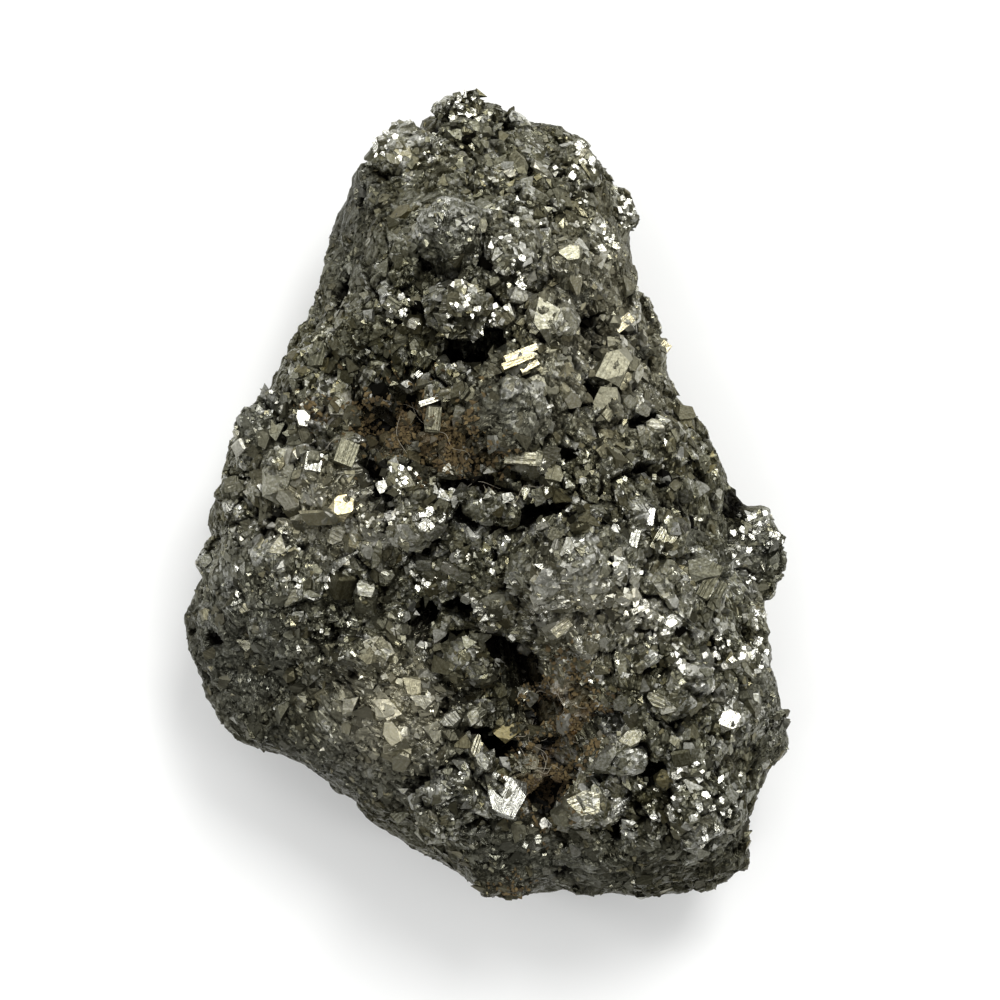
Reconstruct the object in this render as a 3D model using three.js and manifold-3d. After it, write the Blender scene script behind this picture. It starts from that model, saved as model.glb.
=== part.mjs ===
// Pyrite specimen: a hand-sized lump of intergrown crystals, broken from its vein and lying on its back.
// It grew as one piece, so it is one solid: a lumpy mass with open pockets between its crystals, and with
// rounded nodules, cubes and pyritohedra grown into it. Millimetres, +Z up, the narrow end towards +Y, and
// the origin at the middle of its box, on the surface that it lies on.
import * as THREE from "three";
import { ConvexGeometry } from "three/addons/geometries/ConvexGeometry.js";
import { ImprovedNoise } from "three/addons/math/ImprovedNoise.js";
import { mergeVertices } from "three/addons/utils/BufferGeometryUtils.js";
import Module from "manifold-3d";

// The whole length. The lists below are in millimetres too, to within the one last fit to this length.
const LENGTH = 75;

// The mass: how high its widest outline and its crest lie, and how deep its underside bulges before it is
// cut flat by the rest plane, which is z = 0.
const RIM_Z = 12.5;
const CREST_Z = 31;
const KEEL_Z = -1.4;
const FRONT_FULLNESS = 0.84; // 1 is an ellipse's profile, and less is boxier
const BACK_FULLNESS = 0.78;
const MASS_DETAIL = 10; // each side of the icosahedron's faces is split into this many plus one
const OUTLINE_STEPS = 360;

// Its outline from above, anticlockwise from behind the right-hand lobe, which stands out of it.
const OUTLINE = [
  [22.6, -7.6], [22.0, -2.9], [22.0, -0.2], [20.6, 4.3], [18.0, 8.3], [16.7, 13.0], [14.6, 18.0],
  [13.2, 22.8], [12.7, 26.0], [9.6, 30.5], [5.4, 34.3], [1.3, 35.9], [-2.0, 37.0], [-5.7, 34.8],
  [-8.5, 32.5], [-12.2, 29.4], [-13.9, 25.1], [-15.8, 19.1], [-17.6, 14.0], [-20.0, 9.2],
  [-23.8, 4.3], [-25.5, -2.7], [-26.5, -8.7], [-27.7, -14.1], [-25.8, -18.7], [-21.6, -23.0],
  [-17.1, -25.2], [-11.6, -29.3], [-6.1, -32.9], [1.1, -37.2], [6.8, -37.2], [12.4, -37.1],
  [20.8, -36.6], [24.7, -33.2], [24.8, -28.6], [27.9, -23.2], [26.5, -18.0], [25.8, -12.8],
  [25.2, -10.2],
];

// Broad swells and hollows of the front: x, y, radius and height, or depth where it is negative.
const SWELLS = [
  [7.3, -5.9, 6.5, 2.6],
  [-2.9, 21.5, 5.5, 2.2],
  [2.2, 7.0, 4.2, 1.8],
  [-19.5, 5.6, 4.5, 4.0],
  [-8.0, 31.0, 3.5, 1.5],
  [8.2, 29.0, 3.5, 1.5],
  [-3.4, -27.5, 5.5, 2.2],
  [18.5, -27.0, 5.0, 2.4],
  [-9.0, 6.4, 4.0, -3.0],
  [-1.5, 13.0, 2.6, -2.0],
  [1.0, -15.5, 6.0, -4.2],
  [7.0, -24.5, 5.0, -2.4],
  [-20.0, -15.0, 8.0, -4.0],
  [12.0, 6.0, 6.0, 1.4],
  [16.0, -14.0, 6.0, 1.6],
  [0.5, 38.0, 9.0, -5.0],
];

// Open pockets between the crystals: x, y, half length, half width, depth below the surface, and turn.
const VUGS = [
  [-1.6, 12.9, 3.0, 1.4, 4.0, 20],
  [-6.9, 8.4, 1.9, 1.2, 3.0, 40],
  [-9.6, 6.4, 2.2, 1.4, 2.2, 100],
  [-14.2, 4.3, 0.9, 0.8, 2.2, 0],
  [-9.4, 0.2, 2.0, 0.8, 2.4, -65],
  [2.0, 1.6, 4.2, 0.9, 2.4, -12],
  [-5.0, -4.8, 1.4, 0.9, 2.2, 30],
  [-5.9, -11.4, 2.4, 1.3, 3.0, 80],
  [3.1, -15.7, 3.1, 2.2, 5.6, -25],
  [5.2, -19.6, 1.7, 1.6, 4.2, 70],
  [10.5, -20.0, 1.6, 1.0, 2.6, 20],
  [0.8, -21.8, 2.4, 1.0, 2.6, -25],
  [5.9, -27.2, 1.6, 1.2, 2.8, 60],
  [11.3, -29.6, 1.4, 0.9, 2.2, 10],
  [14.3, -24.2, 1.3, 1.1, 2.4, 0],
  [21.2, -6.6, 1.0, 1.8, 2.6, 0],
  [9.2, 15.6, 1.3, 0.9, 2.2, 45],
  [9.4, 8.6, 1.5, 0.8, 2.4, -60],
  [13.8, 6.9, 1.1, 0.8, 2.0, 20],
  [11.0, -1.8, 1.3, 0.8, 2.0, 0],
  [4.5, 19.4, 0.7, 1.5, 2.2, 10],
  [-13.4, 18.7, 0.8, 1.5, 2.4, 10],
];
const VUG_DETAIL = 1;

// Rounded nodules of finer crystals: x, y, radius, and how far the centre lies under the surface.
const NODULES = [
  [-2.6, 34.8, 2.3, 0.6],
  [-2.6, 31.6, 2.0, 0.5],
  [-7.9, 31.0, 2.8, 1.4],
  [7.9, 29.0, 2.8, 1.0],
  [12.0, 25.8, 1.9, 0.6],
  [-2.9, 22.4, 3.6, 1.8],
  [2.2, 21.4, 2.4, 0.7],
  [6.8, 20.0, 2.2, 0.6],
  [-2.5, 16.3, 2.1, 0.2],
  [5.4, 15.4, 2.0, 0.4],
  [11.6, 11.2, 1.7, 0.3],
  [2.2, 6.8, 3.6, 1.6],
  [-19.0, 5.6, 3.6, 2.2],
  [-7.6, 1.0, 2.2, 0.3],
  [-5.6, -2.0, 2.0, 0.3],
  [0.6, -0.8, 2.3, 0.5],
  [7.3, -5.9, 4.8, 2.8],
  [15.6, -4.1, 2.4, 0.9],
  [19.4, -8.2, 2.4, 0.8],
  [-1.5, -14.5, 2.6, 1.6],
  [-1.3, -19.2, 1.9, 1.0],
  [9.2, -27.0, 1.9, 0.4],
  [10.1, -23.1, 1.5, 0.3],
  [12.9, -22.6, 1.5, 0.3],
  [18.9, -27.3, 3.4, 1.6],
  [-3.4, -27.5, 3.6, 1.8],
  [-18.5, -6.0, 2.4, 1.0],
  [-10.5, -14.0, 2.6, 1.2],
  [22.5, -20.5, 2.2, 0.8],
];
const LOBE = { x: 24.2, y: -5.7, z: 15.5, radius: 3.8, length: 1.12 }; // length is a share of the radius
const NODULE_DETAIL = 1;

// Crystals that stand out: form, x, y, width, length, height, turns about Z, X and Y, and sink.
const CRYSTALS = [
  ["cube", 1.3, -26.4, 2.6, 3.0, 2.6, 20, 14, -12, 0.2],
  ["pyritohedron", 2.0, -20.8, 1.9, 1.9, 1.9, 35, 20, 10, 0.4],
  ["cube", -4.3, 5.8, 2.6, 2.8, 2.4, -8, 12, 16, 0.4],
  ["cube", 2.8, 2.9, 4.2, 1.7, 2.2, -6, 15, 4, 0.3],
  ["cube", 3.1, 11.9, 3.6, 1.8, 2.4, 42, -14, 18, 0.3],
  ["pyritohedron", -18.4, 2.0, 2.5, 3.6, 2.2, 12, 8, -6, 0.5],
  ["cube", -15.0, 2.7, 1.8, 2.0, 1.8, 8, 24, 10, 0.1],
  ["pyritohedron", -12.2, -0.9, 2.6, 2.4, 2.2, 50, -12, 14, 0.4],
  ["pyritohedron", 10.8, 7.9, 2.2, 2.2, 2.2, 5, 30, 22, 0.2],
  ["pyritohedron", -7.8, 16.5, 2.0, 2.0, 2.0, 60, 10, 30, 0.2],
  ["cube", 18.0, -24.0, 2.0, 2.2, 2.0, 30, 22, -14, 0.2],
  ["pyritohedron", 21.7, -18.6, 2.2, 2.0, 2.0, 15, 12, 32, 0.2],
  ["pyritohedron", 14.3, -24.2, 1.7, 1.7, 1.7, 25, 8, 12, 1.2],
  ["cube", 12.9, 17.9, 2.0, 2.2, 2.0, 38, 20, 8, 0.3],
  ["pyritohedron", 15.0, 12.6, 2.4, 2.4, 2.4, 10, 26, 14, 0.4],
  ["cube", 15.8, -7.8, 3.0, 1.8, 2.2, 62, 18, 12, 0.3],
  ["cube", -23.0, -9.8, 2.2, 2.4, 2.2, 22, 16, -22, 0.3],
  ["pyritohedron", -12.6, -8.0, 2.0, 2.0, 2.0, 44, 18, 6, 0.3],
];
const PYRITOHEDRON_PITCH = 0.5; // its faces fall one in two, the {210} form

// Nodules and blunt crystals spread over the flanks and the underside by the golden angle.
const FLANK_COUNT = 22;
const FLANK_TOP = 0.42; // the highest upward slant, as a share of 1, that the spread reaches
const FLANK_RADIUS = { least: 1.5, most: 3.0 };
const HEART = new THREE.Vector3(0, -2, 12); // the point that the spread is aimed from
const GOLDEN_ANGLE = Math.PI * (3 - Math.sqrt(5));

// Roughness of the whole mass: the size and the height of its coarse and its fine lumps.
const LUMPS = [
  { size: 8.5, height: 2.0 },
  { size: 3.6, height: 1.1 },
];
const NODULE_ROUGHNESS = 0.16; // a share of the nodule's radius
const SMALLEST_EDGE = 1e-4;
const FAR = 200;

const noise = new ImprovedNoise();
const wasm = await Module();
wasm.setup();

// A closed three.js geometry as a solid.
function solidOf(geometry) {
  const bare = geometry.clone();
  bare.deleteAttribute("normal");
  bare.deleteAttribute("uv");
  const merged = mergeVertices(bare, SMALLEST_EDGE);
  return new wasm.Manifold(
    new wasm.Mesh({
      numProp: 3,
      vertProperties: merged.attributes.position.array,
      triVerts: new Uint32Array(merged.index.array),
    }),
  );
}

// A solid as a three.js geometry.
function geometryOf(solid) {
  const mesh = solid.getMesh();
  return new THREE.BufferGeometry()
    .setAttribute("position", new THREE.BufferAttribute(mesh.vertProperties, 3))
    .setIndex(new THREE.BufferAttribute(mesh.triVerts, 1));
}

// Moves every vertex of a geometry by a function of its place.
function reshape(geometry, place) {
  const position = geometry.attributes.position;
  const point = new THREE.Vector3();
  for (let i = 0; i < position.count; i += 1) {
    place(point.fromBufferAttribute(position, i));
    position.setXYZ(i, point.x, point.y, point.z);
  }
  return geometry;
}

// The outline's radius from the origin in any direction, read between evenly spaced points of its curve.
const outlinePoints = new THREE.CatmullRomCurve3(
  OUTLINE.map(([x, y]) => new THREE.Vector3(x, y, 0)),
  true,
  "centripetal",
)
  .getSpacedPoints(OUTLINE_STEPS)
  .slice(0, OUTLINE_STEPS)
  .map((p) => ({ angle: Math.atan2(p.y, p.x), radius: Math.hypot(p.x, p.y) }))
  .sort((a, b) => a.angle - b.angle);

function outlineRadius(angle) {
  const found = outlinePoints.findIndex((p) => p.angle >= angle);
  const next = outlinePoints[found < 0 ? 0 : found];
  const last = outlinePoints[found <= 0 ? OUTLINE_STEPS - 1 : found - 1];
  const turn = 2 * Math.PI;
  const span = (next.angle - last.angle + turn) % turn;
  const share = span > 0 ? ((angle - last.angle + turn) % turn) / span : 0;
  return THREE.MathUtils.lerp(last.radius, next.radius, share);
}

// How much the broad swells raise the crest at a place.
function swell(x, y) {
  return SWELLS.reduce(
    (sum, [cx, cy, r, h]) => sum + h * Math.exp(-((x - cx) ** 2 + (y - cy) ** 2) / (2 * r * r)),
    0,
  );
}

// The roughness of the mass at a point, in millimetres.
function lumps(p) {
  return LUMPS.reduce(
    (sum, { size, height }) => sum + height * noise.noise(p.x / size, p.y / size, p.z / size),
    0,
  );
}

// The mass: a sphere's directions, stretched sideways to the outline and up and down to the crest and the
// keel by a superellipse, then roughened along those directions.
function massGeometry() {
  return reshape(new THREE.IcosahedronGeometry(1, MASS_DETAIL), (p) => {
    const direction = p.clone();
    const slant = Math.hypot(p.x, p.y);
    const angle = Math.atan2(p.y, p.x);
    const fullness = p.z > 0 ? FRONT_FULLNESS : BACK_FULLNESS;
    const reach = outlineRadius(angle) * slant ** fullness;
    const rise = Math.abs(p.z) ** fullness;
    const x = reach * Math.cos(angle);
    const y = reach * Math.sin(angle);
    const end = direction.z > 0 ? CREST_Z + swell(x, y) : KEEL_Z;
    p.set(x, y, RIM_Z + (end - RIM_Z) * rise);
    p.addScaledVector(direction, lumps(p));
  });
}

// The first point of a mesh that a ray meets, or undefined.
const caster = new THREE.Raycaster();
function firstHit(mesh, from, along) {
  caster.set(from, along);
  return caster.intersectObject(mesh)[0]?.point;
}

// An ellipsoid with a knobbly skin.
function knob(radiusX, radiusY, radiusZ, detail) {
  const roughness = NODULE_ROUGHNESS * Math.min(radiusX, radiusY, radiusZ);
  return reshape(new THREE.IcosahedronGeometry(1, detail), (p) => {
    const bump = noise.noise(p.x * 2 + radiusX, p.y * 2 + radiusY, p.z * 2 + radiusZ);
    const direction = p.clone();
    p.set(p.x * radiusX, p.y * radiusY, p.z * radiusZ).addScaledVector(direction, 2 * roughness * bump);
  });
}

// A pyritohedron between -1 and 1 each way: twelve five-sided faces.
function pyritohedronGeometry() {
  const corner = 1 / (1 + PYRITOHEDRON_PITCH);
  const shoulder = 1 - PYRITOHEDRON_PITCH ** 2;
  const signs = [-1, 1];
  const points = [];
  for (const a of signs) {
    for (const b of signs) {
      signs.forEach((c) => points.push(new THREE.Vector3(a, b, c).multiplyScalar(corner)));
      points.push(new THREE.Vector3(0, a, b * shoulder * corner));
      points.push(new THREE.Vector3(a, b * shoulder * corner, 0));
      points.push(new THREE.Vector3(b * shoulder * corner, 0, a));
    }
  }
  return new ConvexGeometry(points);
}

const massMesh = new THREE.Mesh(massGeometry());
massMesh.updateMatrixWorld(true);
const DOWN = new THREE.Vector3(0, 0, -1);
const surfaceAt = (x, y) => firstHit(massMesh, new THREE.Vector3(x, y, FAR), DOWN);

// Pockets, each a turned ellipsoid whose middle lies at the surface.
function vugSolid([x, y, halfLength, halfWidth, depth, turn]) {
  const surface = surfaceAt(x, y);
  const pocket = knob(halfLength, halfWidth, depth, VUG_DETAIL);
  pocket.rotateZ(THREE.MathUtils.degToRad(turn));
  pocket.translate(x, y, surface.z);
  return solidOf(pocket);
}

function noduleSolid([x, y, radius, sink]) {
  const surface = surfaceAt(x, y);
  return solidOf(knob(radius, radius, radius, NODULE_DETAIL).translate(x, y, surface.z - sink));
}

function crystalSolid([form, x, y, width, length, height, turnZ, turnX, turnY, sink]) {
  const shape = form === "cube" ? new THREE.BoxGeometry(2, 2, 2) : pyritohedronGeometry();
  const radians = [turnX, turnY, turnZ].map(THREE.MathUtils.degToRad);
  shape.scale(width / 2, length / 2, height / 2);
  shape.applyMatrix4(new THREE.Matrix4().makeRotationFromEuler(new THREE.Euler(...radians)));
  return solidOf(shape.translate(x, y, surfaceAt(x, y).z - sink));
}

// Nodules and turned cubes by turns, each half sunk where a ray from the heart leaves the mass.
function flankSolids() {
  const solids = [];
  for (let i = 0; i < FLANK_COUNT; i += 1) {
    const z = FLANK_TOP - (1 + FLANK_TOP) * ((i + 0.5) / FLANK_COUNT);
    const level = Math.sqrt(1 - z * z);
    const turn = i * GOLDEN_ANGLE;
    const outward = new THREE.Vector3(level * Math.cos(turn), level * Math.sin(turn), z);
    const from = HEART.clone().addScaledVector(outward, FAR);
    const hit = firstHit(massMesh, from, outward.clone().negate());
    const share = (i * 0.618) % 1;
    const radius = THREE.MathUtils.lerp(FLANK_RADIUS.least, FLANK_RADIUS.most, share);
    const shape =
      i % 3 === 0
        ? new THREE.BoxGeometry(1.5 * radius, 1.5 * radius, 1.5 * radius)
            .rotateX(turn)
            .rotateY(2 * turn)
        : knob(radius, 0.9 * radius, 0.8 * radius, 1);
    const place = hit.addScaledVector(outward, -0.55 * radius);
    solids.push(solidOf(shape.translate(place.x, place.y, place.z)));
  }
  return solids;
}

function lobeSolid() {
  const lobe = knob(LOBE.radius, LOBE.radius * LOBE.length, LOBE.radius, NODULE_DETAIL);
  return solidOf(lobe.translate(LOBE.x, LOBE.y, LOBE.z));
}

// The whole specimen: pockets out, growths in, then cut flat at the rest plane.
function specimenGeometry() {
  let solid = solidOf(massMesh.geometry);
  for (const vug of VUGS) solid = solid.subtract(vugSolid(vug));
  const growths = [
    ...NODULES.map(noduleSolid),
    ...CRYSTALS.map(crystalSolid),
    ...flankSolids(),
    lobeSolid(),
  ];
  for (const growth of growths) solid = solid.add(growth);
  const below = new THREE.BoxGeometry(FAR, FAR, FAR).translate(0, 0, -FAR / 2);
  return geometryOf(solid.subtract(solidOf(below)));
}

// Centred over the origin, resting on z = 0, and fitted to its length.
const geometry = specimenGeometry();
geometry.computeBoundingBox();
const { min, max } = geometry.boundingBox;
const fit = LENGTH / (max.y - min.y);
geometry.translate(-(min.x + max.x) / 2, -(min.y + max.y) / 2, -min.z);
geometry.scale(fit, fit, fit);
geometry.computeVertexNormals();

const pyrite = new THREE.MeshStandardMaterial({
  color: 0x8b8871,
  roughness: 0.35,
  metalness: 0.9,
  flatShading: true,
});

const specimen = new THREE.Mesh(geometry, pyrite);
specimen.name = "pyrite_specimen";

const group = new THREE.Group();
group.add(specimen);

export default group;
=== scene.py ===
# %% [markdown]
# # A pyrite specimen, grain by grain
# The specimen is one natural lump of iron pyrites, 75 mm long: a dull, fine-grained mass with thousands of
# metallic crystals grown into it, dark open pockets between them, and rust where water has stood.
# The frame holds the lump as one plain solid. This lesson wraps a fine skin over that solid, grows the
# crystals on the skin as closed polyhedra, and gives each finish its own procedural material.

# %% The frame
import itertools
import math

import bpy
import numpy as np
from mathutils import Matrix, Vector


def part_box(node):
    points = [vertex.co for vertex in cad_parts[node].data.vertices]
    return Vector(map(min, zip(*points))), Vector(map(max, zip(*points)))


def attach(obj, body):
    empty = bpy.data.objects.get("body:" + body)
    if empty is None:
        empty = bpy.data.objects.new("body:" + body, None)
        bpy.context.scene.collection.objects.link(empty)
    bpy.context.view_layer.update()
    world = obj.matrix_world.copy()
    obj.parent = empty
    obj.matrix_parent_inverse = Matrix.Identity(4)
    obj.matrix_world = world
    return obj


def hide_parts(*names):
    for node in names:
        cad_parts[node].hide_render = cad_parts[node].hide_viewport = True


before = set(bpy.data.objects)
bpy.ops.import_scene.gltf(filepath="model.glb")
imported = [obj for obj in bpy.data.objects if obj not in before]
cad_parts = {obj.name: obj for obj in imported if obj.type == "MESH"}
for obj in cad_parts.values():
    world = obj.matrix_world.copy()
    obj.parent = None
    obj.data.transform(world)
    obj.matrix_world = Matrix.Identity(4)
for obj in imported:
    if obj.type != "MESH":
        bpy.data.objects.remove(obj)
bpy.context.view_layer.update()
NODE = "pyrite_specimen"
MM = 0.001
SEED = 210
rng = np.random.default_rng(SEED)
box_low, box_high = (np.array(corner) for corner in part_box(NODE))
size = box_high - box_low
middle = (box_low + box_high) / 2
print("specimen, mm:", (size / MM).round(1))

# %% [markdown]
# ## The camera
# The specimen lies on its back, so the camera looks straight down on it. A lens of 100 mm on a 36 mm
# sensor keeps the perspective slight, as a collector sees the piece when it lies on a table below them.

# %% Camera
SENSOR = 0.036
LENS = 0.100
MARGIN = 1.2375  # the frame's width, as a share of the specimen's length
FRAME_WIDTH = size[1] * MARGIN
OUTLINE_HEIGHT = box_low[2] + 0.40 * size[2]  # the widest section, whose edge is the outline from above
OFF_MIDDLE = (0.0135, -0.004)  # the specimen stands this share of the frame's width off its middle

camera_data = bpy.data.cameras.new("camera")
camera_data.sensor_width = SENSOR / MM
camera_data.lens = LENS / MM
camera_data.clip_start = 0.01
camera_data.clip_end = 20
camera = bpy.data.objects.new("camera", camera_data)
bpy.context.scene.collection.objects.link(camera)
bpy.context.scene.camera = camera
distance = FRAME_WIDTH * LENS / SENSOR
camera.location = (
    middle[0] + OFF_MIDDLE[0] * FRAME_WIDTH,
    middle[1] + OFF_MIDDLE[1] * FRAME_WIDTH,
    OUTLINE_HEIGHT + distance,
)
camera.rotation_euler = (0, 0, 0)
print("camera height, mm:", round(camera.location.z / MM))

# %% Directions
KEY_AZIMUTH = 25
KEY_ELEVATION = 58


def compass(azimuth, elevation):
    """A direction from degrees: clockwise from +Y as seen from above, and up from the floor."""
    around, up = math.radians(azimuth), math.radians(elevation)
    return np.array([math.sin(around) * math.cos(up), math.cos(around) * math.cos(up), math.sin(up)])


# A face that leans halfway between straight up and the key panel shows the panel to the camera.
flash = compass(KEY_AZIMUTH, KEY_ELEVATION) + (0, 0, 1)
flash = flash / np.linalg.norm(flash)
print("a face flashes when it leans by, degrees:", round(math.degrees(math.acos(flash[2]))))

# %% [markdown]
# ## Repeatable chance
# Rock needs a lot of randomness, but the same each time. These helpers give a random number to every cell
# of a three-dimensional lattice by mixing the bits of its whole-number place. Blending between the corners
# gives smooth noise, and the nearest of one random point per cell gives broken, faceted ground. Every
# pattern has a salt of its own, any whole number that no other one uses, so that no two of them line up.

# %% Noise on whole arrays
def cell_chance(cells, salt):
    """Three numbers from 0 to 1 for each whole-number cell: its place is multiplied by large primes, and the
    bits are folded over each other until they are well mixed."""
    place = cells.astype(np.int64)
    mixed = place[..., 0] * 73856093 ^ place[..., 1] * 19349663 ^ place[..., 2] * 83492791
    numbers = []
    for lane in range(3):
        bits = (mixed + (salt * 3 + lane) * 2654435761) & 0xFFFFFFFF
        bits = ((bits ^ (bits >> 15)) * 2246822519) & 0xFFFFFFFF
        bits = ((bits ^ (bits >> 13)) * 3266489917) & 0xFFFFFFFF
        numbers.append((bits ^ (bits >> 16)) / 4294967296)
    return np.stack(numbers, axis=-1)


CORNERS = np.array(list(itertools.product((0, 1), repeat=3)))
NEIGHBOURS = np.array(list(itertools.product((-1, 0, 1), repeat=3)))


def eased(share):
    """A share from 0 to 1 that starts and ends level: three of its squares less two of its cubes."""
    return share * share * (3 - 2 * share)


def smooth_noise(points, grain, salt):
    """From -1 to 1: the chances at a cell's eight corners, blended by an eased share along each axis."""
    place = points / grain
    cell = np.floor(place)
    share = eased(place - cell)
    total = np.zeros(len(points))
    for corner in CORNERS:
        weight = np.prod(np.where(corner, share, 1 - share), axis=1)
        total += weight * cell_chance(cell + corner, salt)[:, 0]
    return 2 * total - 1


def broken_ground(points, grain, salt, steepness):
    """Heights that look like broken crystal faces: each point belongs to the nearest of one random centre
    per cell, and its height is that centre's own height plus a plane through it that leans at random. Also
    returns how near the point is to the next grain, 0 on the seam, and a chance that the grain shares."""
    place = points / grain
    cell = np.floor(place)
    nearest = np.full(len(points), np.inf)
    second = np.full(len(points), np.inf)
    height = np.zeros(len(points))
    owner = np.zeros(len(points))
    for step in NEIGHBOURS:
        chance = cell_chance(cell + step, salt)
        offset = place - (cell + step + chance)
        away = (offset**2).sum(axis=1)
        lean = cell_chance(cell + step, salt + 1) - 0.5
        plane = 0.5 * (chance[:, 0] - 0.5) + steepness * (lean * offset).sum(axis=1)
        closer = away < nearest
        second = np.where(closer, nearest, np.minimum(second, away))
        nearest = np.where(closer, away, nearest)
        height = np.where(closer, plane, height)
        owner = np.where(closer, chance[:, 1], owner)
    return height * grain, np.sqrt(second) - np.sqrt(nearest), owner


def domed_ground(points, grain, salt, smallest, largest):
    """Heights that look like a crust of balls: every cell has a random centre and a radius, in cells, and a
    point takes the height of the highest ball over it. Also returns a chance that the whole ball shares."""
    place = points / grain
    cell = np.floor(place)
    height = np.zeros(len(points))
    owner = np.full(len(points), 0.5)
    for step in NEIGHBOURS:
        chance = cell_chance(cell + step, salt)
        traits = cell_chance(cell + step, salt + 1)
        radius = smallest + (largest - smallest) * traits[:, 0]
        away = ((place - (cell + step + chance)) ** 2).sum(axis=1)
        rise = np.sqrt(np.maximum(0, radius**2 - away))
        owner = np.where(rise > height, traits[:, 1], owner)
        height = np.maximum(height, rise)
    return height * grain, owner


# %% [markdown]
# ## Meshes from arrays
# Every piece below ends here. A piece is an array of vertices and a flat list of corners with the number
# of corners of each face, so triangles and five-sided crystal faces can share one mesh. Named numbers per
# vertex travel with it as attributes, and the materials read them back.

# %% Mesh helpers
def put_mesh(name, vertices, corners, counts, attributes=None, uv=None, smooth=False):
    """Fills a new mesh object by whole arrays: vertex places, corner indices face after face, the number of
    corners of each face, {name: one number per vertex} and one UV pair per corner."""
    mesh = bpy.data.meshes.new(name)
    mesh.vertices.add(len(vertices))
    mesh.vertices.foreach_set("co", np.ascontiguousarray(vertices, np.float32).ravel())
    mesh.loops.add(len(corners))
    mesh.loops.foreach_set("vertex_index", np.ascontiguousarray(corners, np.int32))
    mesh.polygons.add(len(counts))
    starts = np.concatenate(([0], np.cumsum(counts)[:-1]))
    mesh.polygons.foreach_set("loop_start", starts.astype(np.int32))
    mesh.polygons.foreach_set("use_smooth", np.full(len(counts), smooth))
    if uv is not None:
        layer = mesh.uv_layers.new(name="faces")
        layer.data.foreach_set("uv", np.ascontiguousarray(uv, np.float32).ravel())
    for key, values in (attributes or {}).items():
        layer = mesh.attributes.new(key, "FLOAT", "POINT")
        layer.data.foreach_set("value", np.ascontiguousarray(values, np.float32))
    mesh.update(calc_edges=True)
    made = bpy.data.objects.new(name, mesh)
    bpy.context.scene.collection.objects.link(made)
    return made


def triangle_count(thing):
    """Triangles of an object's mesh once every face is cut into them."""
    mesh = thing.data
    return len(mesh.loops) - 2 * len(mesh.polygons)


def unit(vectors):
    """Vectors at length 1."""
    return vectors / np.maximum(np.linalg.norm(vectors, axis=-1, keepdims=True), 1e-12)


# %% [markdown]
# ## The skin: a ball of grids wrapped over the frame
# The mass could be sculpted, or the frame's own solid could be subdivided, but its long triangles would
# show. Instead six square grids are pushed out onto a ball, which has no poles to pinch, and the ball is
# stretched to a pillow a little larger than the solid. A Shrinkwrap modifier then brings each vertex onto
# the solid, so the skin can't drift from the frame.

# %% A ball of six grids
GRID = 230
JITTER = 0.25  # breaks up the rows, as a share of a radian over the grid's steps


def ball_of_grids(steps):
    """Directions on a unit ball: the two parameters of each of a cube's six faces run through the tangent of
    even angles, which evens out their spacing, and each point is divided by its length. The faces' shared
    edges are merged by rounding. Returns the directions and each grid's quads."""
    line = np.tan(np.linspace(-1, 1, steps + 1) * np.pi / 4)
    a, b = np.meshgrid(line, line, indexing="ij")
    one = np.ones_like(a)
    sides = [(one, a, b), (-one, b, a), (b, one, a), (a, -one, b), (a, b, one), (b, a, -one)]
    points = unit(np.concatenate([np.stack(side, axis=-1).reshape(-1, 3) for side in sides]))
    index = np.arange(len(points)).reshape(6, steps + 1, steps + 1)
    quads = np.stack([index[:, :-1, :-1], index[:, 1:, :-1], index[:, 1:, 1:], index[:, :-1, 1:]], axis=-1)
    _, first, back = np.unique(points.round(6), axis=0, return_index=True, return_inverse=True)
    order = np.argsort(first)
    rank = np.argsort(order)
    return points[first[order]], rank[back.reshape(-1)][quads].reshape(6, -1, 4)


directions, grid_quads = ball_of_grids(GRID)
directions = unit(directions + rng.normal(0, JITTER / GRID, directions.shape))
skin_quads = grid_quads.reshape(-1, 4)
print("skin:", len(directions), "vertices,", 2 * len(skin_quads), "triangles")

# %% The outline of the solid
CLEARANCE = 3 * MM
OUTLINE_BINS = 90

solid_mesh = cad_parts[NODE].data
solid = np.empty(len(solid_mesh.vertices) * 3)
solid_mesh.vertices.foreach_get("co", solid)
solid = solid.reshape(-1, 3) - (middle[0], middle[1], 0)

turn = np.arctan2(solid[:, 1], solid[:, 0])
reach = np.zeros(OUTLINE_BINS)
np.maximum.at(reach, ((turn + np.pi) / (2 * np.pi) * OUTLINE_BINS).astype(int) % OUTLINE_BINS,
              np.hypot(solid[:, 0], solid[:, 1]))
reach = np.maximum(reach, np.maximum(np.roll(reach, 1), np.roll(reach, -1)))
bin_turns = (np.arange(OUTLINE_BINS) + 0.5) / OUTLINE_BINS * 2 * np.pi - np.pi
print("outline's reach from the middle, mm:", (np.array([reach.min(), reach.max()]) / MM).round(1))

# %% The pillow over the solid
RIM_SHARE = 0.36
FULLNESS = 0.84
UNDERSIDE_WEIGHT = 0.45  # the underside is finished too, but needs fewer points than the front


def meridian(theta):
    """The pillow's section: how far out, as a share of the outline, and how high, at an angle theta down
    from the top. Both follow a superellipse, which ends above the crest and below the base."""
    rim = RIM_SHARE * size[2]
    end = np.where(theta < np.pi / 2, size[2] + CLEARANCE, -CLEARANCE)
    return np.abs(np.sin(theta)) ** FULLNESS, rim + (end - rim) * np.abs(np.cos(theta)) ** FULLNESS


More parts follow.
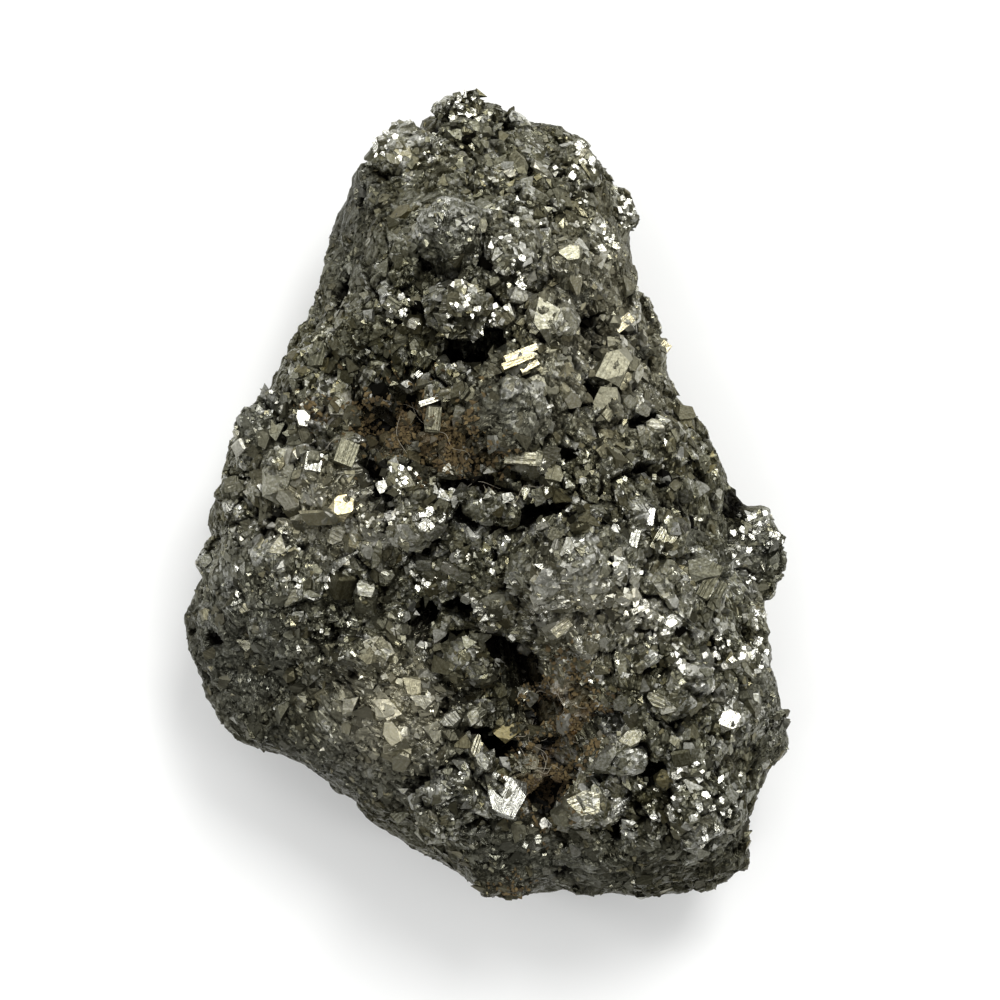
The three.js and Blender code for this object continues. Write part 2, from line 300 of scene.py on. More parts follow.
def pillow(d):
    """A point for each direction. The share of a ball's area above a direction is (1 - z) / 2, and the angle
    down the meridian is the one with that share of the pillow's own area above it, so the grid's squares
    stay alike all the way down the flanks."""
    theta = np.linspace(0, np.pi, 721)
    out, rise = meridian(theta)
    out = out * (reach.mean() + CLEARANCE)
    weight = np.where(theta[1:] < np.pi / 2, 1.0, UNDERSIDE_WEIGHT)
    strips = weight * np.hypot(np.diff(out), np.diff(rise)) * (out[1:] + out[:-1])
    area = np.concatenate(([0.0], np.cumsum(strips)))
    out, rise = meridian(np.interp((1 - d[:, 2]) / 2, area / area[-1], theta))
    angle = np.arctan2(d[:, 1], d[:, 0])
    out = out * (np.interp(angle, bin_turns, reach, period=2 * np.pi) + CLEARANCE)
    return np.stack((middle[0] + out * np.cos(angle), middle[1] + out * np.sin(angle), rise), axis=1)


# %% [markdown]
# ## Onto the solid
# The modifier drops each vertex straight inwards. On steep walls that leaves the squares stretched, so they
# are then relaxed: melted a little, which evens them out, and put back onto the nearest part of the solid,
# a few times over. A vertex's neighbours, which melting averages, are the far ends of its edges.

# %% Wrapping
edge_starts = skin_quads.ravel()
edge_ends = np.roll(skin_quads, -1, axis=1).ravel()
edge_count = np.bincount(edge_starts)
first_edge = np.cumsum(edge_count) - edge_count
four_edges = first_edge[:, None] + np.minimum(np.arange(4), edge_count[:, None] - 1)
neighbours = edge_ends[np.argsort(edge_starts, kind="stable")][four_edges]


def melted(values, passes):
    """Each vertex's value drawn halfway to the mean of its four neighbours, over and over. Single precision
    keeps to a millionth of the value and halves the time."""
    values = values.astype(np.float32)
    for _ in range(passes):
        near = values[neighbours[:, 0]]
        for side in (1, 2, 3):
            near += values[neighbours[:, side]]
        values = 0.5 * values + 0.125 * near
    return values.astype(np.float64)


def vertex_normals(places):
    """Each quad's normal is the cross product of its diagonals, and a vertex adds up those around it."""
    diagonal_a = places[skin_quads[:, 2]] - places[skin_quads[:, 0]]
    diagonal_b = places[skin_quads[:, 3]] - places[skin_quads[:, 1]]
    normals = np.cross(diagonal_a, diagonal_b)
    total = np.zeros_like(places)
    for axis, corner in itertools.product(range(3), range(4)):
        total[:, axis] += np.bincount(skin_quads[:, corner], normals[:, axis], len(places))
    return unit(total)


def wrapped(places, settings):
    """The skin's vertices moved onto the frame's solid by a Shrinkwrap modifier with the given settings."""
    draft = put_mesh("draft", places, skin_quads.ravel(), np.full(len(skin_quads), 4))
    wrap = draft.modifiers.new("wrap", "SHRINKWRAP")
    wrap.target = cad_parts[NODE]
    for key, value in settings.items():
        setattr(wrap, key, value)
    evaluated = draft.evaluated_get(bpy.context.evaluated_depsgraph_get()).data
    moved = np.empty(len(places) * 3)
    evaluated.vertices.foreach_get("co", moved)
    bpy.data.objects.remove(draft)
    return moved.reshape(-1, 3)


INWARDS = {"wrap_method": "PROJECT", "use_negative_direction": True, "use_positive_direction": False,
           "cull_face": "BACK"}
NEAREST = {"wrap_method": "NEAREST_SURFACEPOINT"}
RELAX_ROUNDS = 5
RELAX_PASSES = 10

skin = wrapped(pillow(directions), INWARDS)
for _ in range(RELAX_ROUNDS):
    skin = wrapped(melted(skin, RELAX_PASSES), NEAREST)
spacing = np.linalg.norm(skin[skin_quads[:, 0]] - skin[skin_quads[:, 1]], axis=1) / MM
print("spacing of the skin's vertices, mm:", np.percentile(spacing, (1, 25, 50, 75, 99)).round(2))

# %% [markdown]
# ## The body under the skin
# Averaging the neighbours many times melts the skin down to the plain body of the lump. The gap between the
# two tells how deep each place lies in a hollow, and that depth is used again and again: pockets are painted
# soot-black as painted shade, rusty and free of large crystals.

# %% Body and hollows
BODY_PASSES = 200
skin = melted(skin, 4)
body = melted(skin, BODY_PASSES)
body_normals = vertex_normals(body)
hollow = ((body - skin) * body_normals).sum(axis=1)
print("deepest hollow, mm:", round(hollow.max() / MM, 2))

# %% [markdown]
# ## Where the finish changes
# The flanks and a few swells are skinned with very fine, bluish-grey pyrite, and on the steep flanks that
# darker blue-grey is also painted shade. Around the pockets the grains are coarser and the colour warmer,
# and limonite has crept out of some of them. Some parts are painted lighter, as painted light where lumps
# catch it, and some are painted pale tan, partly a real film and partly painted light. Others are dull with
# dust and painted darker, partly as painted shade, or closed and calm. Noise alone would put these anywhere,
# and painting would need an image, so each is a soft spot, given in millimetres across the face from the
# middle of the frame's box.

# %% Patches
# Each row: x, y, half length, half width, strength
COOL_PATCHES = [
    (-22, -14, 9, 10, 1.0), (-14, -24, 12, 6, 1.0), (6, -33, 16, 4.5, 0.9), (20, -30, 6, 5, 0.5),
    (-13, 26, 4, 8, 0.8), (-3, 22, 4.5, 4, 0.7), (-21, 6, 4.5, 4, 0.8), (2.5, 6.5, 4.5, 3.5, 0.7),
    (24.5, -5, 4, 4, 0.7), (26, -20, 3, 9, 0.8), (7, -6, 6, 4.5, 0.5), (-20, 2, 5, 5, 0.3),
]
RUST_PATCHES = [
    (8.4, -20.2, 2.2, 1.8, 1.0), (5.2, -25.2, 2.0, 3.0, 1.0), (-3.4, 5.0, 2.6, 2.6, 0.75),
    (-8.4, 6.6, 3.2, 2.4, 0.7), (-14.5, 7.6, 1.6, 1.4, 0.4), (6.5, -17.0, 3.0, 2.4, 0.5),
    (2.4, -36, 2.0, 1.4, 0.3), (-1.0, 3.4, 2.2, 1.6, 0.5),
]
# Pale patches are tan: partly a real film, partly painted light on lit walls and lumps.
PALE_AND_LIT_PATCHES = [(-8, -19, 5, 5, 0.6), (10, 14, 8, 10, 0.3), (-14, -1, 6, 4, 0.4), (9, -10, 7, 4, 0.4)]
# Painted light: lighter patches where lumps catch the light.
PAINTED_LIGHT_PATCHES = [
    (-3, 27, 9, 6, 0.3), (-24, 5, 4, 7, 0.5), (9, -10, 8, 5, 1.0), (24.5, -6, 4, 5, 0.3),
    (-6, -19, 6, 6, 0.3), (9.5, -23.5, 6, 4, 0.5), (-3, -26, 4, 3, 0.9), (21, -26, 4, 4, 0.7),
    (22, -8, 4, 5, 0.6), (13, -10, 4, 4, 0.6), (-25, -7, 3, 3, 0.6), (-12, -2, 6, 4, 0.7),
    (20, -14, 4, 5, 0.8), (22, -21, 4, 5, 0.5),
]
# Darker, dustier patches; along the lower edge they are painted shade.
DULL_AND_SHADED_PATCHES = [
    (-19, -22, 5, 5, 1.0), (-10, -29, 8, 5, 1.0), (0, -35, 12, 4, 0.8), (14, -34, 10, 4, 1.0),
    (-11, 26, 4, 5, 0.8), (10, 11, 3, 5, 0.7), (-6, 7, 6, 8, 0.7), (-1, -16.5, 4.5, 5, 0.8),
    (-15, -25, 6, 5, 1.0), (22, -33, 5, 4, 0.8), (7, -2.5, 4, 3, 0.5), (23, -30, 5, 5, 0.7),
    (-26, -15, 4, 5, 0.6), (8.5, 16, 3, 3, 0.8), (-1, 17, 4, 3, 0.4), (4, 2, 8, 4, 0.2),
]
CALM_PATCHES = [(-2, 27, 9, 5, 0.7), (8, 22, 6, 6, 0.5), (8, -8, 7, 5, 0.5), (-8, -19, 5, 5, 0.4)]


def on_face(points):
    """Places across the face in millimetres from the middle of the frame's box."""
    return (points[:, 0] - middle[0]) / MM, (points[:, 1] - middle[1]) / MM


def soft_spots(points, rows):
    """For each row in turn, its strength times a bell curve of the distance from its middle, in halves."""
    across, along = on_face(points)
    for x, y, half_x, half_y, strength in rows:
        yield strength * np.exp(-(((across - x) / half_x) ** 2 + ((along - y) / half_y) ** 2))


def patch(points, rows):
    """The strongest of several soft spots at each point, from 0 to 1."""
    found = np.zeros(len(points))
    for spot in soft_spots(points, rows):
        found = np.maximum(found, spot)
    return found


# How far up a normal points where the ground starts to count as a flank, and as a steep one
FLANK_BELOW = 0.6
STEEP_BELOW = 0.35
SLANT_FADE = 0.5
# Steep flanks count as cool by this share, which paints them darker and bluer as painted shade.
STEEP_COOL_SHADE = 0.9
COOL_WANDER = 0.25  # how far noise moves the cool patches' edges
RUST_GRAIN = 1.1 * MM
SEEP = 0.5  # rust in hollows away from the patches
SEEP_DEPTH = 1.5 * MM


def zones(points, normals, depth):
    """How cool, rusty and pale each point is, from 0 to 1. Steep flanks and the underside count as cool,
    which paints them darker and bluer as painted shade, and rust gathers where the ground is hollow."""
    steep = np.clip((STEEP_BELOW - normals[:, 2]) / SLANT_FADE, 0, 1)
    wander = COOL_WANDER * smooth_noise(points, 4 * MM, 31)
    cool = np.clip(np.maximum(patch(points, COOL_PATCHES), STEEP_COOL_SHADE * steep) + wander, 0, 1)
    front = np.clip(1.5 * normals[:, 2] + 0.3, 0, 1)
    ragged = 0.5 + 0.5 * smooth_noise(points, RUST_GRAIN, 32)
    rust = patch(points, RUST_PATCHES) * front * (0.35 + 0.9 * ragged)
    seep = SEEP * np.clip(depth / SEEP_DEPTH, 0, 1) * np.clip(smooth_noise(points, 5 * MM, 33), 0, 1)
    pale = patch(points, PALE_AND_LIT_PATCHES) * front
    return cool, np.clip(rust + seep, 0, 1), pale


cool, rust, pale = zones(body, body_normals, hollow)
calm = patch(body, CALM_PATCHES)
dull = patch(body, DULL_AND_SHADED_PATCHES)
flank = np.clip((FLANK_BELOW - body_normals[:, 2]) / SLANT_FADE, 0, 1)
print("cool, rusty and pale shares:", [round(float(zone.mean()), 2) for zone in (cool, rust, pale)])

# %% [markdown]
# ## Pockets and nodules
# Where the crystals didn't meet, they left open pockets, black inside and steep-walled. Where they grew
# from one seed, they make a rounded nodule with a dark moat. The frame holds the largest of both as plain
# shapes. Here each is a turned ellipse on the face, which presses the skin in or domes it up.

# %% Pockets
# Each row: x, y, half length, half width, depth in mm, turn anticlockwise in degrees
POCKETS = [
    (-1.5, 12.9, 2.7, 1.2, 4.5, 24), (-5.7, 15.6, 0.9, 0.7, 2.6, 0), (-8.8, 7.0, 1.0, 0.9, 3.0, 0),
    (-6.4, 6.6, 2.2, 0.6, 2.6, 100), (-14.2, 4.3, 0.9, 0.8, 2.6, 0), (-9.1, 1.0, 2.2, 0.8, 3.4, -65),
    (-2.7, 1.0, 1.0, 0.8, 2.8, 0), (0.8, 0.7, 2.4, 0.7, 2.6, -12), (3.6, -1.9, 3.2, 0.75, 2.8, 22),
    (-1.5, -2.0, 1.1, 0.8, 2.6, -30), (-5.2, -4.8, 1.2, 0.7, 2.6, 30), (-5.9, -11.3, 2.2, 1.0, 3.4, 80),
    (-2.5, -10.1, 1.4, 0.8, 3.0, 0), (1.3, -13.4, 1.6, 0.9, 3.0, -20), (2.6, -15.4, 2.2, 1.3, 3.0, -40),
    (5.4, -18.7, 1.4, 1.1, 2.0, -60), (10.5, -19.9, 1.5, 0.9, 3.0, 20), (1.0, -21.7, 2.4, 0.8, 3.0, -25),
    (5.9, -27.3, 1.4, 1.1, 3.2, 60), (11.3, -29.6, 1.2, 0.8, 2.6, 10), (14.2, -24.2, 1.3, 1.1, 2.6, 0),
    (21.0, -6.9, 1.6, 0.9, 3.0, 90), (9.1, 15.9, 1.2, 0.7, 2.8, 60), (9.6, 8.9, 1.5, 0.7, 3.0, -50),
    (8.2, 7.8, 1.0, 0.6, 2.8, 0), (13.8, 6.9, 1.2, 0.8, 3.0, 20), (14.2, 2.2, 1.3, 0.7, 3.0, -20),
    (11.0, -1.8, 1.3, 0.5, 2.2, 30), (13.1, 14.5, 0.8, 0.5, 2.2, 0), (13.5, 11.4, 1.2, 0.4, 2.2, 90),
    (6.8, 3.8, 0.9, 0.6, 2.2, 0), (4.5, 19.6, 1.3, 0.5, 2.4, 90), (6.4, 28.7, 0.9, 0.5, 2.0, 0),
    (-11.5, 26.8, 1.0, 0.45, 2.4, 90), (-13.4, 18.7, 1.5, 0.6, 2.8, 80), (-2.9, 32.1, 1.2, 0.45, 2.0, 0),
    (-18.2, -1.6, 2.0, 0.35, 1.8, 0), (-24.7, -12.6, 0.8, 0.5, 2.0, 0), (2.6, -36.1, 1.3, 0.7, 2.4, 0),
    (20.0, -17.5, 0.5, 0.4, 1.8, 0),
]
POCKET_FRAY = 0.3  # how far noise moves the edge, as a share of the pocket
FRAY_GRAIN = 1.1 * MM
POCKET_EDGE = 0.6
POCKET_SHARE = 0.7  # the frame's solid already sinks the largest ones part of the way


def ellipse(points, x, y, half_length, half_width, degrees):
    """How far out each point is from the middle of a turned ellipse on the face: 1 is on its edge."""
    across, along = on_face(points)
    c, s = math.cos(math.radians(degrees)), math.sin(math.radians(degrees))
    right, up = across - x, along - y
    return np.hypot((right * c + up * s) / half_length, (up * c - right * s) / half_width)


def sunk(points, normals):
    """How far the pockets press each point in, in metres: each pocket's depth times an eased step across
    its frayed edge. The face's own slant keeps them off the flanks behind."""
    fray = POCKET_FRAY * smooth_noise(points, FRAY_GRAIN, 41)
    depth = np.zeros(len(points))
    for x, y, half_length, half_width, deep, degrees in POCKETS:
        out = ellipse(points, x, y, half_length, half_width, degrees) + fray
        share = np.clip((1 + POCKET_EDGE / 2 - out) / POCKET_EDGE, 0, 1)
        depth = np.maximum(depth, POCKET_SHARE * deep * MM * eased(share))
    return depth * (normals[:, 2] > 0.05)


pocket = sunk(body, body_normals)
print("pockets:", len(POCKETS), "covering", round(float((pocket > MM).mean()) * 100, 1), "% of the points")

# %% Nodules
# Each row: x, y, half length, half width, turn in degrees, rise as a share of the half width
NODULES = [
    (-2.6, 35.4, 1.8, 1.5, 0, 0.15), (-2.6, 33.2, 2.1, 1.5, 0, 0.15), (8.2, 29.3, 2.6, 2.3, 30, 0.35),
    (-8.0, 31.6, 2.6, 2.2, 10, 0.35), (12.6, 25.4, 1.6, 1.3, 60, 0.15), (2.2, 21.4, 2.3, 1.9, 30, 0.5),
    (6.8, 20.0, 2.0, 1.8, 0, 0.5), (-2.5, 16.3, 2.2, 2.0, 20, 0.6), (-2.9, 22.4, 3.3, 2.8, 0, 0.3),
    (-21.5, 4.8, 3.4, 2.6, 60, 0.15), (2.2, 6.6, 3.6, 3.0, 30, 0.4), (-7.5, 1.0, 2.3, 2.1, 0, 0.6),
    (-5.6, -1.9, 2.1, 1.9, 0, 0.6), (0.8, -0.9, 2.6, 1.5, -10, 0.5), (-1.5, -14.5, 2.6, 2.1, 10, 0.8),
    (-1.3, -19.2, 1.9, 1.3, 0, 0.6), (8.9, -27.0, 2.0, 1.8, 0, 0.6), (10.1, -23.1, 1.6, 1.4, 0, 0.5),
    (12.9, -23.0, 1.5, 1.3, 0, 0.5), (-9.9, 9.8, 2.0, 1.8, 0, 0.5), (7.3, -5.9, 6.3, 4.0, -10, 0.2),
    (18.9, -27.3, 3.0, 2.7, 0, 0.3), (11.6, 11.2, 1.9, 1.7, 0, 0.4), (5.4, 15.3, 1.9, 1.7, 0, 0.4),
    (-3.4, -27.5, 3.6, 3.0, 0, 0.3), (10.6, 7.6, 1.6, 1.3, 20, 0.4), (15.6, -4.1, 1.7, 1.5, 0, 0.4),
    (24.0, -13.6, 1.6, 1.9, 0, 0.4), (-12.0, 3.9, 1.4, 1.3, 0, 0.5), (15.6, 13.3, 1.7, 1.5, 0, 0.4),
    (17.4, -17.2, 2.6, 2.2, 40, 0.3), (-16.5, -7.4, 2.2, 1.6, 0, 0.3), (13.4, -10.4, 2.0, 1.6, 20, 0.3),
]
MOAT_DEPTH = 1.2 * MM
MOAT_GRAIN = 1.7 * MM
MOAT_OUT = 1.12
MOAT_WIDTH = 0.24
NODULE_LIFT = 1.4


def raised(points, normals):
    """How far the listed nodules dome each point up: a ball's profile inside each ellipse, and round it a
    ragged moat, deepest just outside its edge."""
    ragged = np.clip(0.5 + smooth_noise(points, MOAT_GRAIN, 43), 0, 1)
    dome = np.zeros(len(points))
    moat = np.zeros(len(points))
    for x, y, half_length, half_width, degrees, share in NODULES:
        out = ellipse(points, x, y, half_length, half_width, degrees)
        rise = NODULE_LIFT * share * half_width * MM * np.sqrt(np.maximum(0, 1 - out**2))
        dome = np.maximum(dome, rise)
        moat = np.maximum(moat, np.clip(1 - np.abs(out - MOAT_OUT) / MOAT_WIDTH, 0, 1))
    moat = moat * (dome == 0) * ragged * np.clip(4 * normals[:, 2] - 2, 0, 1)
    return dome * np.clip(2.5 * normals[:, 2] - 0.5, 0, 1) - MOAT_DEPTH * moat


nodule_rise = raised(body, body_normals)
print("nodules:", len(NODULES), "rising up to, mm:", round(nodule_rise.max() / MM, 1))

# %% [markdown]
# ## The broken ground of the skin
# Between the listed shapes the mass is a crust of small knobs and of crystals broken across, with dark
# seams between them. A bump map could shade them, but the outline would stay smooth. So two sizes of domed
# ground and three of broken ground really move the skin, over a slow heave. The fine-grained cool patches
# keep only the smallest, and the flanks are worn smoother than the front.

# %% Swells
# Where the crust is thicker or thinner: x, y, half length, half width, how far out in mm
SWELLS = [
    (-2.6, 37.0, 3, 2.4, -0.9), (-9.5, 34, 3, 3, -0.9), (0.8, 35.4, 2, 2, 0.9), (-5.8, 35, 1.5, 2, 0.6),
    (13.4, 27.4, 1.3, 1.2, -0.6), (11, 27.6, 1.5, 1.5, 0.6), (4.8, -17.4, 2, 2.6, 1.0),
    (-25, 9, 4, 6, -0.4), (-17, 17, 5, 7, -0.5), (25, 1, 2.5, 3, 0.6), (27, -6, 3, 3, -0.4),
    (7, 35, 5, 4, 0.5), (14.5, 23, 3, 3, 0.6), (-19, -22, 7, 5, 0.5), (14, -35, 12, 4, 0.4),
    (26, -20, 4, 8, 0.4),
]
swell = MM * sum(soft_spots(body, SWELLS))
print("swells, mm:", (np.array([swell.min(), swell.max()]) / MM).round(2))

# %% Knobs, blocks and grit
KNOB_GRAIN = 2.7 * MM
SMALL_KNOB_GRAIN = 1.25 * MM
BLOCK_GRAIN = 2.3 * MM
GRIT_GRAIN = 0.9 * MM
FINE_GRIT_GRAIN = 0.5 * MM
SEAM_WIDTH = 0.15  # of a grain
GRIT_SEAM = 0.4  # a seam of the grit, as a share of one between blocks
COOL_FINER, CALM_FINER = 0.75, 0.5  # how much of the coarse ground these zones lose

coarse = (1 - COOL_FINER * cool) * np.clip(0.85 + 0.5 * smooth_noise(body, 7 * MM, 25), 0.4, 1.1)
coarse *= 1 - CALM_FINER * calm
knobs, knob_chance = domed_ground(skin, KNOB_GRAIN, 21, 0.35, 0.62)
small_knobs, _ = domed_ground(skin, SMALL_KNOB_GRAIN, 23, 0.3, 0.6)
blocks_ground, block_seam, block_chance = broken_ground(skin, BLOCK_GRAIN, 11, 1.2)
grit, grit_seam, grit_chance = broken_ground(skin, GRIT_GRAIN, 13, 1.1)
fine_grit, _, _ = broken_ground(skin, FINE_GRIT_GRAIN, 15, 1.0)
seam = np.clip(1 - block_seam / SEAM_WIDTH, 0, 1) + GRIT_SEAM * np.clip(1 - grit_seam / SEAM_WIDTH, 0, 1)
clean = np.clip(4 * block_chance - 1.6, 0, 1) * (1 - cool)
rough_ground = 1 - 0.7 * clean
print("clean blocks cover:", round(float(clean.mean()) * 100), "% of the points")

# %% Relief
HEAVE, HEAVE_GRAIN = 0.5 * MM, 6.0 * MM
RIPPLE, RIPPLE_GRAIN = 0.3 * MM, 2.4 * MM
SEAM_DEPTH = 0.5 * MM
WORN_AWAY = 0.6  # the share of the relief that the flanks have lost
WORN_IN = 0.05 * MM

worn = 1 - WORN_AWAY * flank
relief = HEAVE * smooth_noise(body, HEAVE_GRAIN, 1) + RIPPLE * smooth_noise(skin, RIPPLE_GRAIN, 3)
# Each ground takes part by the share that stands before it.
relief += 0.45 * coarse * knobs
relief += 0.4 * rough_ground * small_knobs
relief += 0.65 * coarse * blocks_ground
relief += (0.6 - 0.2 * cool) * rough_ground * grit
relief += 0.5 * rough_ground * fine_grit
relief -= SEAM_DEPTH * coarse * seam
relief = (relief - relief.mean()) * worn - WORN_IN * flank
print("relief, mm:", (np.array([relief.min(), relief.max()]) / MM).round(2))

# %% The skin moved out and in
FILL_FROM = 1.0 * MM
FILL_SHARE = 0.75  # small crystals have filled the deepest hollows by this share of what is below FILL_FROM
WALL_FROM = 0.3 * MM  # ground that is pressed in this far is a pocket's wall,
WALL_HOLLOW = 0.9 * MM  # and so is ground that lies this deep
WALL_GRAIN = 0.8 * MM
WALL_GRIT = 1.1

skin_normals = vertex_normals(melted(skin, 6))
lift = swell - pocket + FILL_SHARE * np.maximum(0, hollow - FILL_FROM)
skin = skin + skin_normals * (relief + nodule_rise)[:, None] + body_normals * lift[:, None]
wall = np.flatnonzero((pocket > WALL_FROM) | (hollow > WALL_HOLLOW))
wall_grit, _, _ = broken_ground(skin[wall], WALL_GRAIN, 17, 1.3)
skin[wall] += WALL_GRIT * wall_grit[:, None] * body_normals[wall]
skin[:, 2] = np.maximum(skin[:, 2], 0)
crevice = ((melted(skin, 50) - skin) * body_normals).sum(axis=1)
skin_normals = vertex_normals(skin)
print("crevices, mm:", (np.percentile(crevice, (1, 50, 99)) / MM).round(2))

# %% [markdown]
# ## What the skin tells the materials
# A material can't know where the pockets are, so each vertex carries numbers for it: how cool, rusty and
# pale it is, how much soot-black lies there, and how bright and polished its grain is. The soot-black is
# dust in dull patches and dark seams, and painted shade in pockets, hollows and crevices. Crests are painted
# lighter and flanks darker, as painted light and shade.

# %% Numbers on the skin
# Soot-black in pockets and hollows is painted shade; in dull patches it is dust, and in seams dark joints.
BLACK_POCKET = 1.2 * MM  # a pocket this deep is all black
SHADE_FROM, SHADE_OVER = 0.5 * MM, 1.3 * MM
CREVICE = 0.5 * MM  # a full crevice's depth, and a full crest's height
SEAM_SOOT = 0.6
DUST_AND_SHADE = 0.3
PAINTED_LIGHT_AND_DUST = 0.3  # how much lighter bright patches and crests are, and how much darker dull ones and flanks

soot_and_shade = np.clip(pocket / BLACK_POCKET + np.clip((hollow - SHADE_FROM) / SHADE_OVER, 0, 1), 0, 1)
# Painted shade: crevices are darkened by their depth, with some dust.
crevice_dust_and_shade = np.clip(crevice / CREVICE - 0.35, 0, 0.85) * (1 - 0.5 * calm)
soot_and_shade = np.clip(soot_and_shade + crevice_dust_and_shade + SEAM_SOOT * coarse * seam * worn + DUST_AND_SHADE * dull, 0, 1)
# Painted light and shade: crests are painted lighter and flanks darker, and lit and dull patches lighter and
# darker.
crest = np.clip(-crevice / CREVICE, 0, 1)
painted_light_and_dust = PAINTED_LIGHT_AND_DUST * (patch(body, PAINTED_LIGHT_PATCHES) - dull + crest - flank)
skin_look = {
    "cool": cool,
    "rust": rust,
    "pale": pale,
    "soot_and_shade": soot_and_shade,
    "tone": np.clip(0.38 + 0.4 * (knob_chance - 0.5) + 0.5 * (block_chance - 0.5) + painted_light_and_dust, 0, 1),
    "polish": np.clip(1.3 * grit_chance - 0.2 + 0.3 * smooth_noise(body, 3 * MM, 27), 0, 1),
}
print("sooty share:", round(float((soot_and_shade > 0.5).mean()), 2))

# %% [markdown]
# ## Six closed segments
# The skin is finer than one mesh should be, so it is cut like an orange, along the edges of the six grids.
# A wall of thin triangles runs from each segment's open edge down to the heart of the lump, so that every
# piece is a closed solid. The cuts meet vertex for vertex.

# %% Segments
SEGMENTS = ("mass_right", "mass_left", "mass_narrow_end", "mass_broad_end", "mass_crown", "mass_base")
heart = np.array([middle[0], middle[1], box_low[2] + 0.4 * size[2]])


def segment(name, quads):
    """One closed piece of the skin: the quads of its grid, and a triangle to the heart from each edge that
    no other of its quads runs along the other way."""
    starts, ends = quads.ravel(), np.roll(quads, -1, axis=1).ravel()
    is_open = ~np.isin(starts * len(skin) + ends, ends * len(skin) + starts)
    rim_starts, rim_ends = starts[is_open], ends[is_open]
    walls = np.stack((rim_ends, rim_starts, np.full(len(rim_starts), len(skin))), axis=1)
    used, corners = np.unique(np.concatenate((quads.ravel(), walls.ravel())), return_inverse=True)
    counts = np.repeat((4, 3), (len(quads), len(walls)))
    places = np.concatenate((skin, heart[None]))[used]
    look = {key: np.append(values, 0.0)[used] for key, values in skin_look.items()}
    return put_mesh(name, places, corners.ravel(), counts, look)


mass_pieces = [segment(name, quads) for name, quads in zip(SEGMENTS, grid_quads, strict=True)]
for piece in mass_pieces:
    print(piece.name + ":", triangle_count(piece), "triangles")

# %% [markdown]
# ## Crystals are planes
# A crystal's form is the space inside a set of planes, one family for each face symbol: pyrite's are the
# cube {100}, the pyritohedron {210} and the octahedron {111}. So a form is worked out as a mineralogist
# would: cross every three planes, keep the points that no other plane cuts off, and read each face as the
# points on its plane. Grains with no room to grow get planes at random, and come out as blunt blocks.

# %% Forms
CUBE_FACES = np.concatenate((np.eye(3), -np.eye(3)))
SIGNS = np.array(list(itertools.product((-1, 1), repeat=2)))
one_way = np.stack((np.zeros(4), SIGNS[:, 0], 2 * SIGNS[:, 1]), axis=1)
PYRITOHEDRON_FACES = unit(np.concatenate([np.roll(one_way, k, axis=1) for k in range(3)]))
OCTAHEDRON_FACES = unit(np.array(list(itertools.product((-1.0, 1.0), repeat=3))))
ODD_WAY = (0.31, 0.87, 0.38)  # a direction that no face of these forms is square to


def form(families):
    """The solid inside planes given as (normals, distance) families. Returns its vertices, the corner lists
    of its faces, anticlockwise from outside, and the faces' normals."""
    normals = np.concatenate([faces for faces, _ in families])
    far = np.concatenate([np.broadcast_to(distance, len(faces)) for faces, distance in families])
    triples = np.array(list(itertools.combinations(range(len(normals)), 3)))
    systems = normals[triples]
    solvable = np.abs(np.linalg.det(systems)) > 1e-4
    points = np.linalg.solve(systems[solvable], far[triples[solvable]][..., None])[..., 0]
    points = points[(points @ normals.T <= far + 1e-6).all(axis=1)]
    points = np.unique(points.round(5), axis=0)
    faces, kept = [], []
    for normal, distance in zip(normals, far, strict=True):
        on = np.flatnonzero(np.abs(points @ normal - distance) < 1e-4)
        if len(on) > 2:
            side = unit(np.cross(normal, ODD_WAY))
            up = np.cross(normal, side)
            spread = points[on] - points[on].mean(axis=0)
            faces.append(on[np.argsort(np.arctan2(spread @ up, spread @ side))])
            kept.append(normal)
    return points, faces, np.array(kept)


BROAD_FACE = 0.55
FORM_ROUGHNESS = 0.22


def random_block(planes):
    """A blunt grain: evenly strewn planes at slightly different distances. The first is square to Z and
    nearer than the rest, so that the grain has one broad face and can be leaned to show it."""
    index = np.arange(planes) + 0.5
    lift = 1 - 2 * index / planes
    spin = index * math.pi * (3 - math.sqrt(5))
    level = np.sqrt(1 - lift**2)
    normals = np.stack((level * np.cos(spin), level * np.sin(spin), lift), axis=1)
    normals = unit(normals + rng.normal(0, FORM_ROUGHNESS, normals.shape))
    normals[0] = (0, 0, 1)
    distances = rng.uniform(0.72, 1.0, planes)
    distances[0] = BROAD_FACE
    return form([(normals, distances)])


cube = form([(CUBE_FACES, 0.8)])
bevelled_cube = form([(CUBE_FACES, 0.82), (PYRITOHEDRON_FACES, 0.98)])
cut_cube = form([(CUBE_FACES, 0.84), (OCTAHEDRON_FACES, 1.05)])
cut_pyritohedron = form([(PYRITOHEDRON_FACES, 0.86), (OCTAHEDRON_FACES, 0.90)])
blocks = [random_block(planes) for planes in (8, 9, 10, 11, 12, 14)]
small_blocks = [random_block(planes) for planes in (6, 6, 7, 7, 8)]
for title, made in (("cube", cube), ("cut pyritohedron", cut_pyritohedron), ("block", blocks[-1])):
    print(title, len(made[0]), "vertices,", len(made[1]), "faces")

# %% [markdown]
# ## Growing a form many times
# One call grows thousands of crystals of one form. All their vertices are worked out together: the form
# times each crystal's three half-widths, turned by its own rotation and moved to its own centre. Each face
# also gets UVs in millimetres, with U along the crystal's edge, because pyrite's striations run that way
# and turn by a right angle from one cube face to the next.

# %% Growth
def level_side(outward):
    """A level direction square to each outward normal. Straight up has many, so it takes one across +X."""
    helper = np.where(np.abs(outward[:, 2:]) < 0.999, (0.0, 0.0, 1.0), (1.0, 0.0, 0.0))
    return unit(np.cross(helper, outward))


